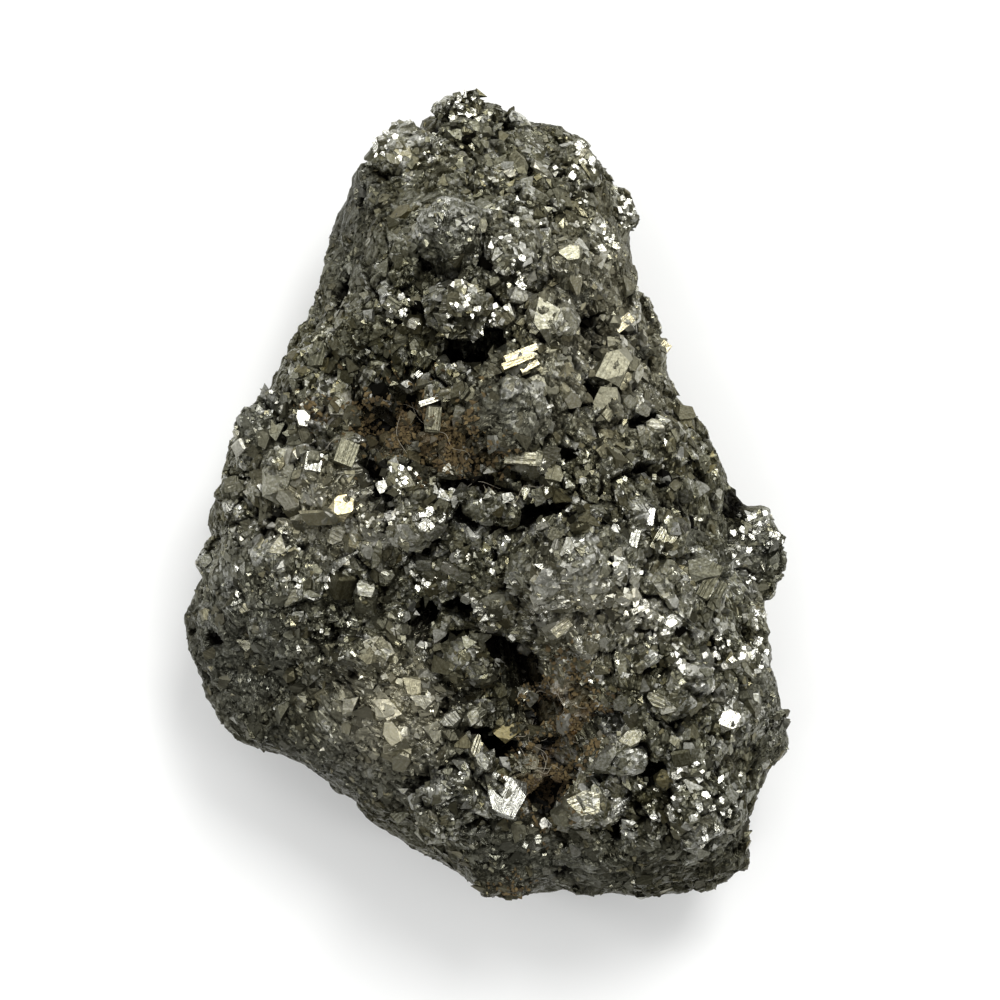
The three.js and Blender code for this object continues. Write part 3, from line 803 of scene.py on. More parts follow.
def turned(outward, tilt, spin, around):
    """Rotation matrices that stand a crystal's Z along an outward normal, then lean it by tilt about a
    level axis at the angle around, with its own spin first."""
    side = level_side(outward)
    stand = np.stack((side, np.cross(outward, side), outward), axis=2)
    zero, one = np.zeros(len(spin)), np.ones(len(spin))
    about_z = np.stack(
        (np.cos(spin), -np.sin(spin), zero, np.sin(spin), np.cos(spin), zero, zero, zero, one), 1
    ).reshape(-1, 3, 3)
    x, y = np.cos(around), np.sin(around)
    c, s = np.cos(tilt), np.sin(tilt)
    lean = np.stack(
        (
            c + x * x * (1 - c), x * y * (1 - c), y * s,
            x * y * (1 - c), c + y * y * (1 - c), -x * s,
            -y * s, x * s, c,
        ),
        axis=1,
    ).reshape(-1, 3, 3)
    return stand @ lean @ about_z


UV_STRAY = 7.3  # moves each crystal's UVs apart, so that no two show the same striations


def grow(shape, centres, halves, turns, attributes):
    """Arrays for one form at many places: vertices, corners, counts, per-vertex attributes and UVs. A vertex
    is the form's own, times the crystal's half-widths, turned, and moved to the crystal's centre."""
    points, faces, normals = shape
    local = points[None] * halves[:, None, :]
    places = np.einsum("nij,nvj->nvi", turns, local) + centres[:, None, :]
    corner = np.concatenate(faces)
    count = np.array([len(face) for face in faces])
    normal = np.repeat(normals, count, axis=0)
    edge_axis = np.roll(np.eye(3)[np.abs(normals).argmax(axis=1)], 1, axis=1)
    along = unit(edge_axis - normals * (edge_axis * normals).sum(axis=1, keepdims=True))
    along = np.repeat(along, count, axis=0)
    across = np.cross(normal, along)
    corner_places = local[:, corner]
    uv = np.stack(((corner_places * along).sum(axis=2), (corner_places * across).sum(axis=2)), axis=2) / MM
    uv = uv + (centres[:, None, :2] / MM) * UV_STRAY
    corners = corner[None] + (np.arange(len(centres)) * len(points))[:, None]
    spread = {key: np.repeat(values, len(points)) for key, values in attributes.items()}
    return places.reshape(-1, 3), corners.ravel(), np.tile(count, len(centres)), spread, uv.reshape(-1, 2)


def join(parts):
    """Several grown parts as one: their corner indices are moved past the vertices before them."""
    offsets = np.cumsum([0] + [len(part[0]) for part in parts[:-1]])
    vertices = np.concatenate([part[0] for part in parts])
    corners = np.concatenate([part[1] + offset for part, offset in zip(parts, offsets, strict=True)])
    counts = np.concatenate([part[2] for part in parts])
    attributes = {key: np.concatenate([part[3][key] for part in parts]) for key in parts[0][3]}
    return vertices, corners, counts, attributes, np.concatenate([part[4] for part in parts])


# %% [markdown]
# ## Strewing crystals over the skin
# Crystals crowd the skin without standing in each other's middle. Blender's own scattering would make
# instances, which an export drops. So random points are drawn on the skin's quads by area, and only the
# first in each little cube of space is kept, which spaces them out evenly with whole-array work.

# %% Strewing
smooth_normals = unit(melted(skin_normals, 10) + 0.5 * body_normals)
quad_corners = skin[skin_quads]
quad_normals = np.cross(
    quad_corners[:, 2] - quad_corners[:, 0], quad_corners[:, 3] - quad_corners[:, 1]
)
quad_areas = np.linalg.norm(quad_normals, axis=1) / 2
area_steps = np.cumsum(quad_areas)
print("skin area, cm2:", round(area_steps[-1] * 1e4))


CELL_STRIDE = 4096  # more cells than the specimen is across, so that no two cells get one number


def strew(spacing, crowd=5):
    """Random places on the skin, about one for each cube of space of that spacing that the skin crosses, as
    indices of quads and the places themselves."""
    tries = int(crowd * area_steps[-1] / spacing**2)
    chosen = np.searchsorted(area_steps, rng.random(tries) * area_steps[-1])
    u, v = rng.random((2, tries, 1))
    a, b, c, d = (quad_corners[chosen, k] for k in range(4))
    places = (a * (1 - u) + b * u) * (1 - v) + (d * (1 - u) + c * u) * v
    cells = np.floor(places / spacing + rng.random(3)).astype(int)
    packed = (cells[:, 0] * CELL_STRIDE + cells[:, 1]) * CELL_STRIDE + cells[:, 2]
    _, first = np.unique(packed, return_index=True)
    return chosen[first], places[first]


def skin_share(vertex):
    """The skin's own look at some of its vertices, for the crystals that stand there."""
    return {key: skin_look[key][vertex] for key in ("cool", "rust", "pale", "soot_and_shade")}


def put_crystals(name, forms, centres, halves, turns, look):
    """One piece of many crystals: each takes one of the forms by chance, and carries its look."""
    kind = rng.integers(0, len(forms), len(centres))
    parts = []
    for k, shape in enumerate(forms):
        own = kind == k
        attributes = {key: values[own] for key, values in look.items()}
        parts.append(grow(shape, centres[own], halves[own], turns[own], attributes))
    vertices, corners, counts, attributes, uv = join(parts)
    piece = put_mesh(name, vertices, corners, counts, attributes, uv)
    print(name + ":", len(centres), "crystals,", triangle_count(piece), "triangles")
    return piece


def leaned(outward, share):
    """Outward normals moved by a share towards the lean that flashes."""
    return unit(outward * (1 - share)[:, None] + flash * share[:, None])


# %% [markdown]
# ## Strewn crystals
# On the real lump the grains run from dust to pieces of two millimetres. Tiny bright spangles, flat shards,
# blunt grains and a few coarse crystals each get a layer. Slow noise gathers them in clusters with bare
# ground between, and rust, the soot-black of dust and painted shade, and calm ground keep them thin. They
# are sunk and lean little, as crystals do that had no open space to grow into, and on the flanks they are
# smaller and sunk deeper. The last layer is the other way round: it grows only in the pockets, whose walls
# are lined with small loose crystals.

# %% Strewn layers
FLANK_SINK = 0.2
FLANK_SHRINK = 0.45
POCKET_FROM = 0.4 * MM  # ground pressed in further than this is a pocket,
HOLLOW_FROM = 0.8 * MM  # and so is ground that lies deeper than this below the body
OPEN_BELOW = 0.25 * MM  # ground pressed in less than this is open to every layer
CALM_THINS, SOOT_AND_SHADE_THINS, RUST_THINS = 0.9, 0.8, 1.3
CLUMP_GRAIN, HERD_GRAIN = 3.2 * MM, 7 * MM
MIDDLE_TONE, TONE_SPREAD = 0.34, 0.24


def strewn(name, forms, spacing, half, length, sink, tilt, share, refuse_cool, clump, polish, flashing=0.0,
           in_pockets=False):
    """One piece of strewn crystals. half is the range of half-widths and length that of the half-length as a
    share of it; sink is how deep a centre lies as a share of it; tilt is the spread of lean in radians;
    share is how many places are taken, and refuse_cool how many fewer on cool and calm ground; clump is how
    strongly slow noise gathers them; polish their shine; flashing how far, at most, they are leaned towards
    the lean that flashes. They keep out of the pockets, or else keep to them."""
    quads, places = strew(spacing)
    vertex = skin_quads[quads, 0]
    gather = smooth_noise(places, CLUMP_GRAIN, 51) + 0.5 * smooth_noise(places, HERD_GRAIN, 52)
    beneath = np.clip(0.7 + 0.7 * body_normals[vertex, 2], 0.25, 1)
    crowd = share * (1 + clump * gather)
    keep = rng.random(len(quads)) < crowd * beneath * (1 - refuse_cool * cool[vertex])
    keep &= rng.random(len(quads)) > refuse_cool * CALM_THINS * calm[vertex]
    if in_pockets:
        keep &= (pocket[vertex] > POCKET_FROM) | (hollow[vertex] > HOLLOW_FROM)
    else:
        keep &= (pocket[vertex] < OPEN_BELOW) & (rng.random(len(quads)) > SOOT_AND_SHADE_THINS * soot_and_shade[vertex])
        keep &= rng.random(len(quads)) > RUST_THINS * rust[vertex]
    vertex, places = vertex[keep], places[keep]
    outward = smooth_normals[vertex]
    count = len(places)
    width = half[0] + (half[1] - half[0]) * rng.random(count) ** 1.8
    width *= 1 - FLANK_SHRINK * flank[vertex]
    halves = width[:, None] * np.exp(rng.normal(0, 0.14, (count, 3)))
    halves[:, 0] *= length[0] + (length[1] - length[0]) * rng.random(count) ** 2
    centres = places - outward * ((sink + FLANK_SINK * flank[vertex]) * width)[:, None]
    centres[:, 2] += np.maximum(0, 0.8 * halves.max(axis=1) - centres[:, 2])
    outward = leaned(outward, flashing * rng.random(count) ** 0.25 * (outward[:, 2] > 0.3))
    turns = turned(outward, np.abs(rng.normal(0, tilt, count)), *rng.uniform(0, 2 * np.pi, (2, count)))
    bright = 0.16 * smooth_noise(places, 2.2 * MM, 53)
    look = skin_share(vertex)
    look["rust"] = look["rust"] * rng.uniform(0.4, 1.0, count)
    # The skin's painted light and shade carry over to the crystals' tone.
    look["tone"] = np.clip(rng.normal(MIDDLE_TONE, TONE_SPREAD, count) + bright + painted_light_and_dust[vertex], 0, 1)
    look["polish"] = np.clip(rng.random(count) ** 1.5 * polish + 2 * bright, 0, 1)
    look["striae"] = rng.random(count) ** 2
    look["brass"] = np.clip(rng.normal(0.0, 0.06, count), 0, 1)
    return put_crystals(name, forms, centres, halves, turns, look)


spangles = strewn(
    "spangles", [cube, *small_blocks], spacing=0.55 * MM, half=(0.11 * MM, 0.27 * MM), length=(0.9, 1.7),
    sink=0.05, tilt=0.09, share=0.16, refuse_cool=0.0, clump=1.6, polish=1.6, flashing=1.0,
)
shards = strewn(
    "shards", small_blocks, spacing=0.7 * MM, half=(0.22 * MM, 0.5 * MM), length=(0.9, 1.5),
    sink=0.3, tilt=0.22, share=0.3, refuse_cool=0.5, clump=0.4, polish=0.7,
)
grains = strewn(
    "grains", [cut_cube, *blocks], spacing=1.15 * MM, half=(0.35 * MM, 0.75 * MM), length=(0.9, 1.4),
    sink=0.42, tilt=0.2, share=0.24, refuse_cool=0.8, clump=0.6, polish=0.6,
)
coarse_crystals = strewn(
    "coarse_crystals", [bevelled_cube, cut_pyritohedron, *blocks[2:]],
    spacing=2.4 * MM, half=(0.7 * MM, 1.15 * MM), length=(0.9, 1.3), sink=0.55, tilt=0.16, share=0.3,
    refuse_cool=1.0, clump=0.5, polish=0.5,
)
pocket_crystals = strewn(
    "pocket_crystals", [cube, *small_blocks], spacing=0.6 * MM, half=(0.16 * MM, 0.42 * MM),
    length=(0.9, 1.5), sink=0.3, tilt=0.5, share=0.8, refuse_cool=0.0, clump=0.3, polish=1.0,
    in_pockets=True,
)

# %% [markdown]
# ## Crystals with a place of their own
# A few dozen crystals are what the eye goes to: striated bars, a flat greenish plate, a brassy cube. They
# are listed one by one. A face shows the key panel only when it leans halfway towards it, so the bright
# ones are leaned that way, as a collector turns a specimen until its best faces flash.

# %% A map of the skin from above
MAP_CELL = 0.4
MAP_HALF = 45


def map_cell(place):
    """The map's row or column for a place across or along the face, in millimetres."""
    return np.floor((np.asarray(place) + MAP_HALF) / MAP_CELL).astype(int)


# Written in order of height, so that each cell keeps its highest vertex. Empty cells borrow from a side.
rising = np.argsort(skin[:, 2])
crest_map = np.full((2 * map_cell(0), 2 * map_cell(0)), -1)
crest_map[tuple(map_cell(place) for place in on_face(skin[rising]))] = rising
for step, axis in itertools.product((1, -1), (0, 1)):
    crest_map = np.where(crest_map < 0, np.roll(crest_map, step, axis), crest_map)


def crest_at(x, y):
    """The skin's highest vertex at each place on the face."""
    return crest_map[map_cell(x), map_cell(y)]


print("map cells over the specimen:", int((crest_map >= 0).sum()))

# %% The list
# Each row: form, x, y, length, width, height, turn in degrees, flash, tone, brass, striae
LISTED = [
    (cube, 3.2, 12.3, 3.2, 0.6, 0.9, 24, 1, 0.9, 0.5, 1.0),
    (cube, 2.8, 11.4, 3.0, 0.6, 0.9, 24, 1, 0.9, 0.6, 1.0),
    (cube, 4.1, 11.0, 1.8, 0.5, 0.8, 30, 1, 0.8, 0.4, 1.0),
    (cube, 2.7, 3.1, 2.8, 1.2, 1.4, -4, 0.6, 0.7, 0.1, 1.0),
    (bevelled_cube, -4.3, 6.6, 2.5, 1.4, 1.4, 84, 0.4, 0.5, 0.0, 1.0),
    (blocks[5], -18.4, 1.9, 3.8, 2.5, 1.2, 78, 0.3, 0.75, 0.0, 0.2),
    (cube, -15.0, 2.7, 1.7, 1.5, 1.4, 80, 0.93, 0.9, 0.0, 1.0),
    (cube, -11.9, 3.8, 2.2, 1.8, 1.6, 70, 0.2, 0.5, 0.0, 0.6),
    (blocks[2], -16.2, 6.6, 1.4, 0.8, 0.9, 80, 1, 1.0, 0.1, 0.2),
    (blocks[3], -15.6, 5.2, 1.5, 0.8, 0.9, 115, 1, 1.0, 0.1, 0.2),
    (cut_cube, -12.2, -0.8, 2.2, 1.8, 1.8, 50, 0.92, 0.9, 0.55, 0.5),
    (blocks[4], -14.5, -2.1, 3.0, 1.5, 1.2, 5, 0.2, 0.6, 0.1, 0.2),
    (blocks[3], 5.4, 15.6, 2.7, 2.4, 2.0, 70, 0.3, 0.7, 0.0, 0.1),
    (blocks[4], 11.4, 11.4, 3.2, 2.6, 2.4, 60, 0.1, 0.55, 0.0, 0.3),
    (cube, 10.4, 11.0, 1.3, 0.4, 1.2, 100, 1, 1.0, 0.1, 0.2),
    (blocks[1], 10.6, 7.9, 2.3, 1.9, 1.8, 30, 0.1, 0.45, 0.0, 0.2),
    (cube, 15.6, -4.0, 2.3, 1.8, 1.8, 60, 0.8, 0.7, 0.1, 1.0),
    (cube, 19.4, -7.6, 3.4, 1.2, 1.4, 62, 0.2, 0.3, 0.0, 1.0),
    (cube, 20.6, -8.8, 2.8, 0.9, 1.4, 60, 0.2, 0.35, 0.0, 1.0),
    (cube, 6.8, -11.5, 1.9, 1.0, 1.2, 40, 0.6, 0.7, 0.1, 1.0),
    (blocks[2], 1.6, -26.9, 3.2, 2.4, 2.0, 65, 0.95, 0.9, 0.0, 1.0),
    (blocks[5], 8.9, -26.8, 3.0, 2.4, 2.2, 15, 0.7, 0.7, 0.1, 1.0),
    (cut_pyritohedron, 15.4, -24.6, 1.8, 1.6, 1.6, 10, 0.0, 0.3, 0.2, 0.3),
    (blocks[4], 2.0, -20.8, 1.9, 1.6, 1.8, 35, 0.3, 0.75, 0.6, 0.0),
    (cube, 14.3, -2.0, 1.6, 0.6, 1.0, 80, 1, 1.0, 0.0, 0.6),
    (cube, 12.6, -4.0, 2.0, 0.8, 1.0, 75, 0.8, 0.9, 0.0, 0.6),
    (cube, -21.6, -0.4, 1.9, 0.35, 0.8, -55, 1, 0.9, 0.0, 0.0),
    (cube, -19.6, 0.2, 1.5, 0.4, 0.8, -55, 1, 1.0, 0.0, 0.0),
    (cube, 15.8, 13.2, 2.2, 1.0, 1.2, 50, 1, 0.8, 0.4, 1.0),
    (cube, -4.9, 8.5, 2.4, 0.5, 0.8, 20, 0.9, 0.9, 0.1, 0.5),
    (cube, 12.4, 15.0, 2.0, 1.0, 1.2, 40, 0.8, 0.8, 0.3, 1.0),
    (cut_cube, 21.6, -19.6, 2.0, 1.8, 1.6, 20, 1, 1.0, 0.1, 0.4),
    (cube, -7.8, -29.0, 1.7, 1.2, 1.2, 40, 0.6, 0.6, 0.0, 0.6),
    (blocks[5], 7.0, 21.0, 1.9, 1.5, 1.4, 20, 0.6, 0.6, 0.0, 0.3),
    (blocks[5], -2.0, 32.8, 3.0, 2.3, 1.4, 15, 0.3, 0.6, 0.0, 0.1),
]
print("crystals in the list:", len(LISTED))

# %% Listed crystals
LISTED_SINK = 0.32  # how deep a centre lies, as a share of the crystal's height
LISTED_HALF = 0.6

vertex = crest_at(*np.array([row[1:3] for row in LISTED]).T)
sizes = np.array([row[3:6] for row in LISTED]) * MM
turn_degrees, flashes, tones, brasses, striaes = np.array([row[6:] for row in LISTED]).T
outward = leaned(unit(smooth_normals[vertex] + (0, 0, 0.8)), flashes)
no_lean = np.zeros(len(LISTED))
# A crystal's own X axis starts level and square to its outward axis, so the turn is given from +X.
side = level_side(outward)
from_side = np.arctan2(side[:, 1], side[:, 0])
turns = turned(outward, no_lean, np.radians(turn_degrees) - from_side, no_lean)
centres = skin[vertex] - outward * (LISTED_SINK * sizes[:, 2:])
look = skin_share(vertex)
look.update(tone=tones * (0.7 + 0.3 * flashes), polish=0.1 + 0.6 * flashes, striae=striaes, brass=brasses)
look["soot_and_shade"] = 0.2 * look["soot_and_shade"]
look["rust"] = 0.4 * look["rust"]
parts = []
for k, (shape, *_) in enumerate(LISTED):
    own = slice(k, k + 1)
    attributes = {key: values[own] for key, values in look.items()}
    parts.append(grow(shape, centres[own], LISTED_HALF * sizes[own], turns[own], attributes))
vertices, corners, counts, attributes, uv = join(parts)
listed_crystals = put_mesh("listed_crystals", vertices, corners, counts, attributes, uv)
print("listed_crystals:", len(LISTED), "crystals,", triangle_count(listed_crystals), "triangles")

# %% [markdown]
# ## Bright clusters and broken faces
# Here and there a whole knob is covered in small fresh crystals that flash together, and elsewhere the lump
# has broken across larger ones and shows their dull flat faces. Both are patches of crystals round a
# chosen place, thinning out from its middle. They keep to the front, and off pockets and rust.

# %% Fields of crystals
# Each row: x, y, radius, how many
CLUSTERS = [
    (12.8, 25.6, 1.3, 14), (-2.6, 35.4, 1.2, 8), (2.6, 18.5, 0.7, 5), (1.0, 15.4, 0.9, 9),
    (-6.6, 10.3, 0.7, 4), (-7.7, 16.5, 0.8, 6), (18.9, -27.3, 3.4, 30), (24.6, -11.2, 0.9, 6),
    (24.2, -13.9, 1.4, 18), (-22.4, -9.7, 0.6, 4), (-13.4, -7.6, 0.6, 4), (-5.5, -7.5, 0.9, 8),
    (-16.4, -7.8, 0.6, 4), (18.0, -24.2, 0.9, 7), (13.3, -10.0, 1.0, 9), (-7.4, 1.8, 1.2, 12),
    (-5.2, -2.4, 1.1, 10), (24.6, -3.6, 2.4, 22), (8.6, 30.4, 1.6, 14), (-9.0, 31.6, 1.5, 12),
    (2.2, 22.0, 1.5, 7), (-2.2, 16.8, 1.4, 12), (16.0, -12.0, 1.4, 10), (5.0, -29.8, 2.0, 8),
    (-18.2, 8.6, 1.4, 8), (-12.8, -28.0, 1.6, 8), (20.6, -13.6, 1.2, 8), (12.0, 22.0, 1.2, 8),
]
BROKEN_FACES = [
    (-8.5, -18.5, 4.5, 16), (-18, 1, 5, 10), (8, 9, 5, 10), (14, 7, 3.5, 7), (-5, 4, 4, 5), (3, -26, 6, 8),
    (0, 25, 6, 8), (13, -21, 5, 7), (-12, -3, 4, 6), (-3, 13, 5, 6), (5, -3, 5, 6), (18, -8, 4, 6),
    (12, 18, 4, 5), (-18, 10, 4, 5),
]
FIELD_FULLNESS = 1.3  # more are drawn than listed, since pockets, rust and flanks keep some away
FIELD_SPREAD = 1.35  # the last ones stray this far, in listed radii
FIELD_POCKET = 0.5 * MM
FIELD_RUST = 0.3
FIELD_SLANT = 0.35  # a normal that points up less than this belongs to a flank


def clustered(name, forms, fields, half, height, sink, tone, polish, flashing, spread):
    """One piece of crystals gathered in round fields of (x, y, radius, how many). half, tone and polish are
    ranges; height is each crystal's height as a share of its width, and sink how deep its centre lies as a
    share of that; flashing is how far it is leaned towards the lean that flashes, and spread how far it
    strays from that lean, in radians."""
    field_x, field_y, field_r, field_n = np.array(fields).T
    owner = np.repeat(np.arange(len(fields)), (FIELD_FULLNESS * field_n).astype(int))
    away = FIELD_SPREAD * field_r[owner] * rng.random(len(owner)) ** 0.7
    spin = rng.uniform(0, 2 * np.pi, len(owner))
    vertex = crest_at(field_x[owner] + away * np.cos(spin), field_y[owner] + away * np.sin(spin))
    sound = (pocket[vertex] < FIELD_POCKET) & (rust[vertex] < FIELD_RUST)
    vertex = vertex[sound & (body_normals[vertex, 2] > FIELD_SLANT)]
    count = len(vertex)
    outward = leaned(smooth_normals[vertex], np.full(count, flashing))
    width = rng.uniform(*half, count)
    halves = width[:, None] * np.exp(rng.normal(0, 0.15, (count, 3)))
    halves[:, 0] *= rng.uniform(1.0, 1.8, count)
    halves[:, 2] *= height
    turns = turned(outward, rng.normal(0, spread, count), *rng.uniform(0, 2 * np.pi, (2, count)))
    look = skin_share(vertex)
    # The skin's painted light and shade carry over to the crystals' tone.
    look.update(
        tone=np.clip(rng.uniform(*tone, count) + painted_light_and_dust[vertex], 0, 1),
        polish=rng.uniform(*polish, count),
        striae=rng.random(count),
        brass=rng.uniform(0, 0.1, count),
    )
    look["soot_and_shade"] = 0.3 * look["soot_and_shade"]
    centres = skin[vertex] - outward * (sink * height * width)[:, None]
    return put_crystals(name, forms, centres, halves, turns, look)


bright_clusters = clustered(
    "bright_clusters", [cube, cut_cube, *blocks[:3]], CLUSTERS, half=(0.13 * MM, 0.32 * MM), height=1.0,
    sink=0.15, tone=(0.6, 1.0), polish=(0.5, 1.0), flashing=0.95, spread=0.19,
)
broken_faces = clustered(
    "broken_faces", blocks, BROKEN_FACES, half=(0.35 * MM, 0.85 * MM), height=0.7,
    sink=0.35, tone=(0.15, 0.6), polish=(0.0, 0.5), flashing=0.15, spread=0.22,
)

# %% [markdown]
# ## Rust crumbs
# Limonite is what is left where water has eaten pyrite: earthy brown crumbs, a quarter of a millimetre
# across, heaped in and round some pockets. A brown stain alone would look flat, so on top of the stained
# skin lie the same blunt blocks, smaller, loose and turned every way.

# %% Limonite crumbs
CRUMB_SPACING = 0.25 * MM
CRUMB_HALVES = (0.08 * MM, 0.17 * MM)
CRUMB_CROWD = 1.7
CRUMB_SLANT = 0.5  # loose crumbs fall off ground whose normal points up less than this

quads, places = strew(CRUMB_SPACING, 3)
vertex = skin_quads[quads, 0]
rusty_here = patch(places, RUST_PATCHES) * (0.4 + 0.9 * smooth_noise(places, 1.3 * MM, 61))
keep = (rng.random(len(quads)) < CRUMB_CROWD * rusty_here) & (body_normals[vertex, 2] > CRUMB_SLANT)
vertex, places = vertex[keep], places[keep]
count = len(vertex)
halves = rng.uniform(*CRUMB_HALVES, (count, 1)) * np.exp(rng.normal(0, 0.2, (count, 3)))
places = places + smooth_normals[vertex] * rng.uniform(-0.05, 0.25, (count, 1)) * MM
turns = turned(smooth_normals[vertex], rng.uniform(0, 1.5, count), *rng.uniform(0, 2 * np.pi, (2, count)))
# deep darkens the crumbs in pockets, as painted shade.
look = {"tone": rng.random(count), "deep": np.clip(pocket[vertex] / (3 * MM), 0, 1)}
rust_crumbs = put_crystals("rust_crumbs", small_blocks, places, halves, turns, look)

# %% [markdown]
# ## Lint
# Dust fibres have caught in the pockets. Hair curves would be dropped by an export, so each is a thin tube
# along a smooth path: slow waves carry it off a straight line, and it rides a little above the skin.

# %% Lint fibres
# Each row: x, y, length, heading in degrees
LINT = [
    (-8.2, 7.2, 4.6, 20), (-6.8, 8.6, 5.2, -50), (-7.4, 5.4, 4.0, 100), (-9.6, 8.0, 3.4, 60),
    (-1.2, 0.6, 5.0, 10), (1.4, -0.6, 4.4, -35), (3.4, 0.4, 3.8, 30), (5.8, -19.6, 4.8, 65),
    (6.8, -21.4, 4.2, -20), (4.6, -22.4, 5.0, 110), (7.4, -18.4, 3.6, 0), (4.8, -25.0, 4.4, 80),
    (2.4, -16.2, 4.0, -40), (-5.8, -12.4, 3.6, 75), (-13.4, 4.6, 3.0, 30), (-3.0, 4.6, 4.2, 140),
    (5.0, -17.6, 2.6, 20), (4.4, -18.8, 3.0, -60), (6.2, -20.2, 2.4, 120), (3.8, -20.6, 2.8, 45),
    (5.4, -16.6, 2.2, -15), (6.6, -18.8, 3.2, 85), (4.2, -23.6, 3.4, -35), (5.6, -24.4, 2.6, 15),
]
LINT_RADIUS = 0.02 * MM
LINT_STEPS = 40
LINT_SIDES = 4
NEARLY_UP = (0.13, 0.21, 0.97)  # a direction that no fibre takes


def sweep(path, radius, sides):
    """A closed tube along each path: a ring of points round every step, square to the way it goes, and one
    point at each end where the last ring is drawn together."""
    ways = unit(np.gradient(path, axis=1))
    side = unit(np.cross(ways, NEARLY_UP))
    up = np.cross(ways, side)
    angle = np.arange(sides) * 2 * np.pi / sides
    swell = radius * np.sqrt(1 - np.linspace(-0.98, 0.98, path.shape[1]) ** 8)
    ring = side[:, :, None] * np.cos(angle)[:, None] + up[:, :, None] * np.sin(angle)[:, None]
    points = path[:, :, None] + ring * swell[:, None, None]
    steps = path.shape[1]
    a, b = np.meshgrid(np.arange(steps - 1), np.arange(sides), indexing="ij")
    after = (b + 1) % sides
    quads = np.stack((a * sides + b, (a + 1) * sides + b, (a + 1) * sides + after, a * sides + after), -1)
    starts = (np.arange(len(path)) * steps * sides)[:, None]
    tube = (quads.reshape(1, -1) + starts).ravel()
    ends = np.concatenate((np.arange(sides), (steps - 1) * sides + np.arange(sides)[::-1]))
    caps = (ends[None] + starts).ravel()
    counts = np.concatenate((np.full(len(tube) // 4, 4), np.full(len(caps) // sides, sides)))
    return points.reshape(-1, 3), np.concatenate((tube, caps)), counts


# %% Lint laid on the skin
LINT_CLEAR = 0.15  # mm above the skin, at least
LINT_RISE = 0.25
LINT_STIFFNESS = 60  # a bell curve over the steps, in steps squared, evens out the ground that a fibre rides

x, y, length, heading = np.array(LINT).T
along = np.linspace(-0.5, 0.5, LINT_STEPS)
waves = rng.uniform(4, 13, (3, len(LINT), 1)) * along + rng.uniform(0, 2 * np.pi, (3, len(LINT), 1))
bends = np.sin(waves) * length[:, None] * rng.uniform(0.06, 0.13, (3, len(LINT), 1))
c, s = np.cos(np.radians(heading))[:, None], np.sin(np.radians(heading))[:, None]
forward = along * length[:, None]
across = x[:, None] + forward * c - bends[0] * s
upward = y[:, None] + forward * s + bends[0] * c
ride = skin[crest_at(across, upward), 2]
steps_apart = np.subtract.outer(np.arange(LINT_STEPS), np.arange(LINT_STEPS))
smoothing = np.exp(-(steps_apart**2) / LINT_STIFFNESS)
ride = ride @ (smoothing / smoothing.sum(axis=0))
height = ride + (LINT_CLEAR + LINT_RISE * np.abs(bends[1])) * MM
path = np.stack((middle[0] + across * MM, middle[1] + upward * MM, height), axis=2)
lint = put_mesh("lint", *sweep(path, LINT_RADIUS, LINT_SIDES), smooth=True)
print("lint:", len(LINT), "fibres,", triangle_count(lint), "triangles")

# %% [markdown]
# ## Materials
# Hex colours are what a painter reads off, so one function turns them to the linear numbers that the
# shaders use. Another adds any node with its settings and links, and the recipes below are lists of
# such calls.

# %% Colour and node helpers
PER_METRE = 1000.0  # a pattern of so many per millimetre needs that many thousand per metre
COLOURS = {"out": 2, "data_type": "RGBA"}  # a Mix of colours: socket 0 is the share, 6 and 7 the colours
TIMES_PLUS = {"operation": "MULTIPLY_ADD"}  # a Math of three: the first times the second, plus the third


def linear(hex_colour):
    """An sRGB hex colour as linear red, green, blue and alpha."""
    channels = np.array([int(hex_colour[k : k + 2], 16) / 255 for k in (1, 3, 5)])
    straight = np.where(channels <= 0.04045, channels / 12.92, ((channels + 0.055) / 1.055) ** 2.4)
    return (*straight.tolist(), 1.0)


def add(tree, kind, inputs=(), out=0, **settings):
    """Adds a node of a kind with its own settings, and returns one of its outputs by name or number. inputs
    maps a socket's name or number to a value, or to another node's output, which is linked to it."""
    node = tree.nodes.new("ShaderNode" + kind)
    for key, value in settings.items():
        setattr(node, key, value)
    for key, value in dict(inputs).items():
        if isinstance(value, bpy.types.NodeSocket):
            tree.links.new(value, node.inputs[key])
        else:
            node.inputs[key].default_value = value
    return node.outputs[out]


def material(name):
    """A new node material, its tree and its shader."""
    made = bpy.data.materials.new(name)
    made.use_nodes = True
    return made, made.node_tree, made.node_tree.nodes["Principled BSDF"]


def link_shader(tree, shader, outputs):
    """Links each output to the shader's socket of that name."""
    for name, output in outputs.items():
        tree.links.new(output, shader.inputs[name])


# %% [markdown]
# ### Tarnished pyrite
# Fresh pyrite is a pale brass-yellow metal. On an old specimen a film of tarnish and dust greys it and
# turns it olive, a little differently on each crystal. It stays metallic, with a share of dull film. One
# colour with a noise over it would look like cast iron, so the films are laid over each other by the
# numbers that each vertex carries. Growth striations and fine etch pits break up each face's reflection,
# which is what makes it glitter.

# %% Pyrite's colour
TARNISH_DARK = "#4a4731"
TARNISH_MID = "#83826f"
TARNISH_BRIGHT = "#dcdcd4"
BLUE_GREY = "#64655e"
# Tan: partly a real film, partly painted light on lit patches.
TAN_FILM_AND_LIGHT = "#c9c3ab"
BRASS = "#d9c88c"
RUST_BROWN = "#553f20"
# Soot-black: dust, and painted shade in pockets and crevices.
SOOT_AND_SHADE = "#0c0a05"
COOL_FILM_AND_SHADE = 0.6
PALE_FILM_AND_LIGHT = 0.8
LOOKS = ("cool", "rust", "pale", "soot_and_shade", "tone", "polish", "brass")  # told by each vertex


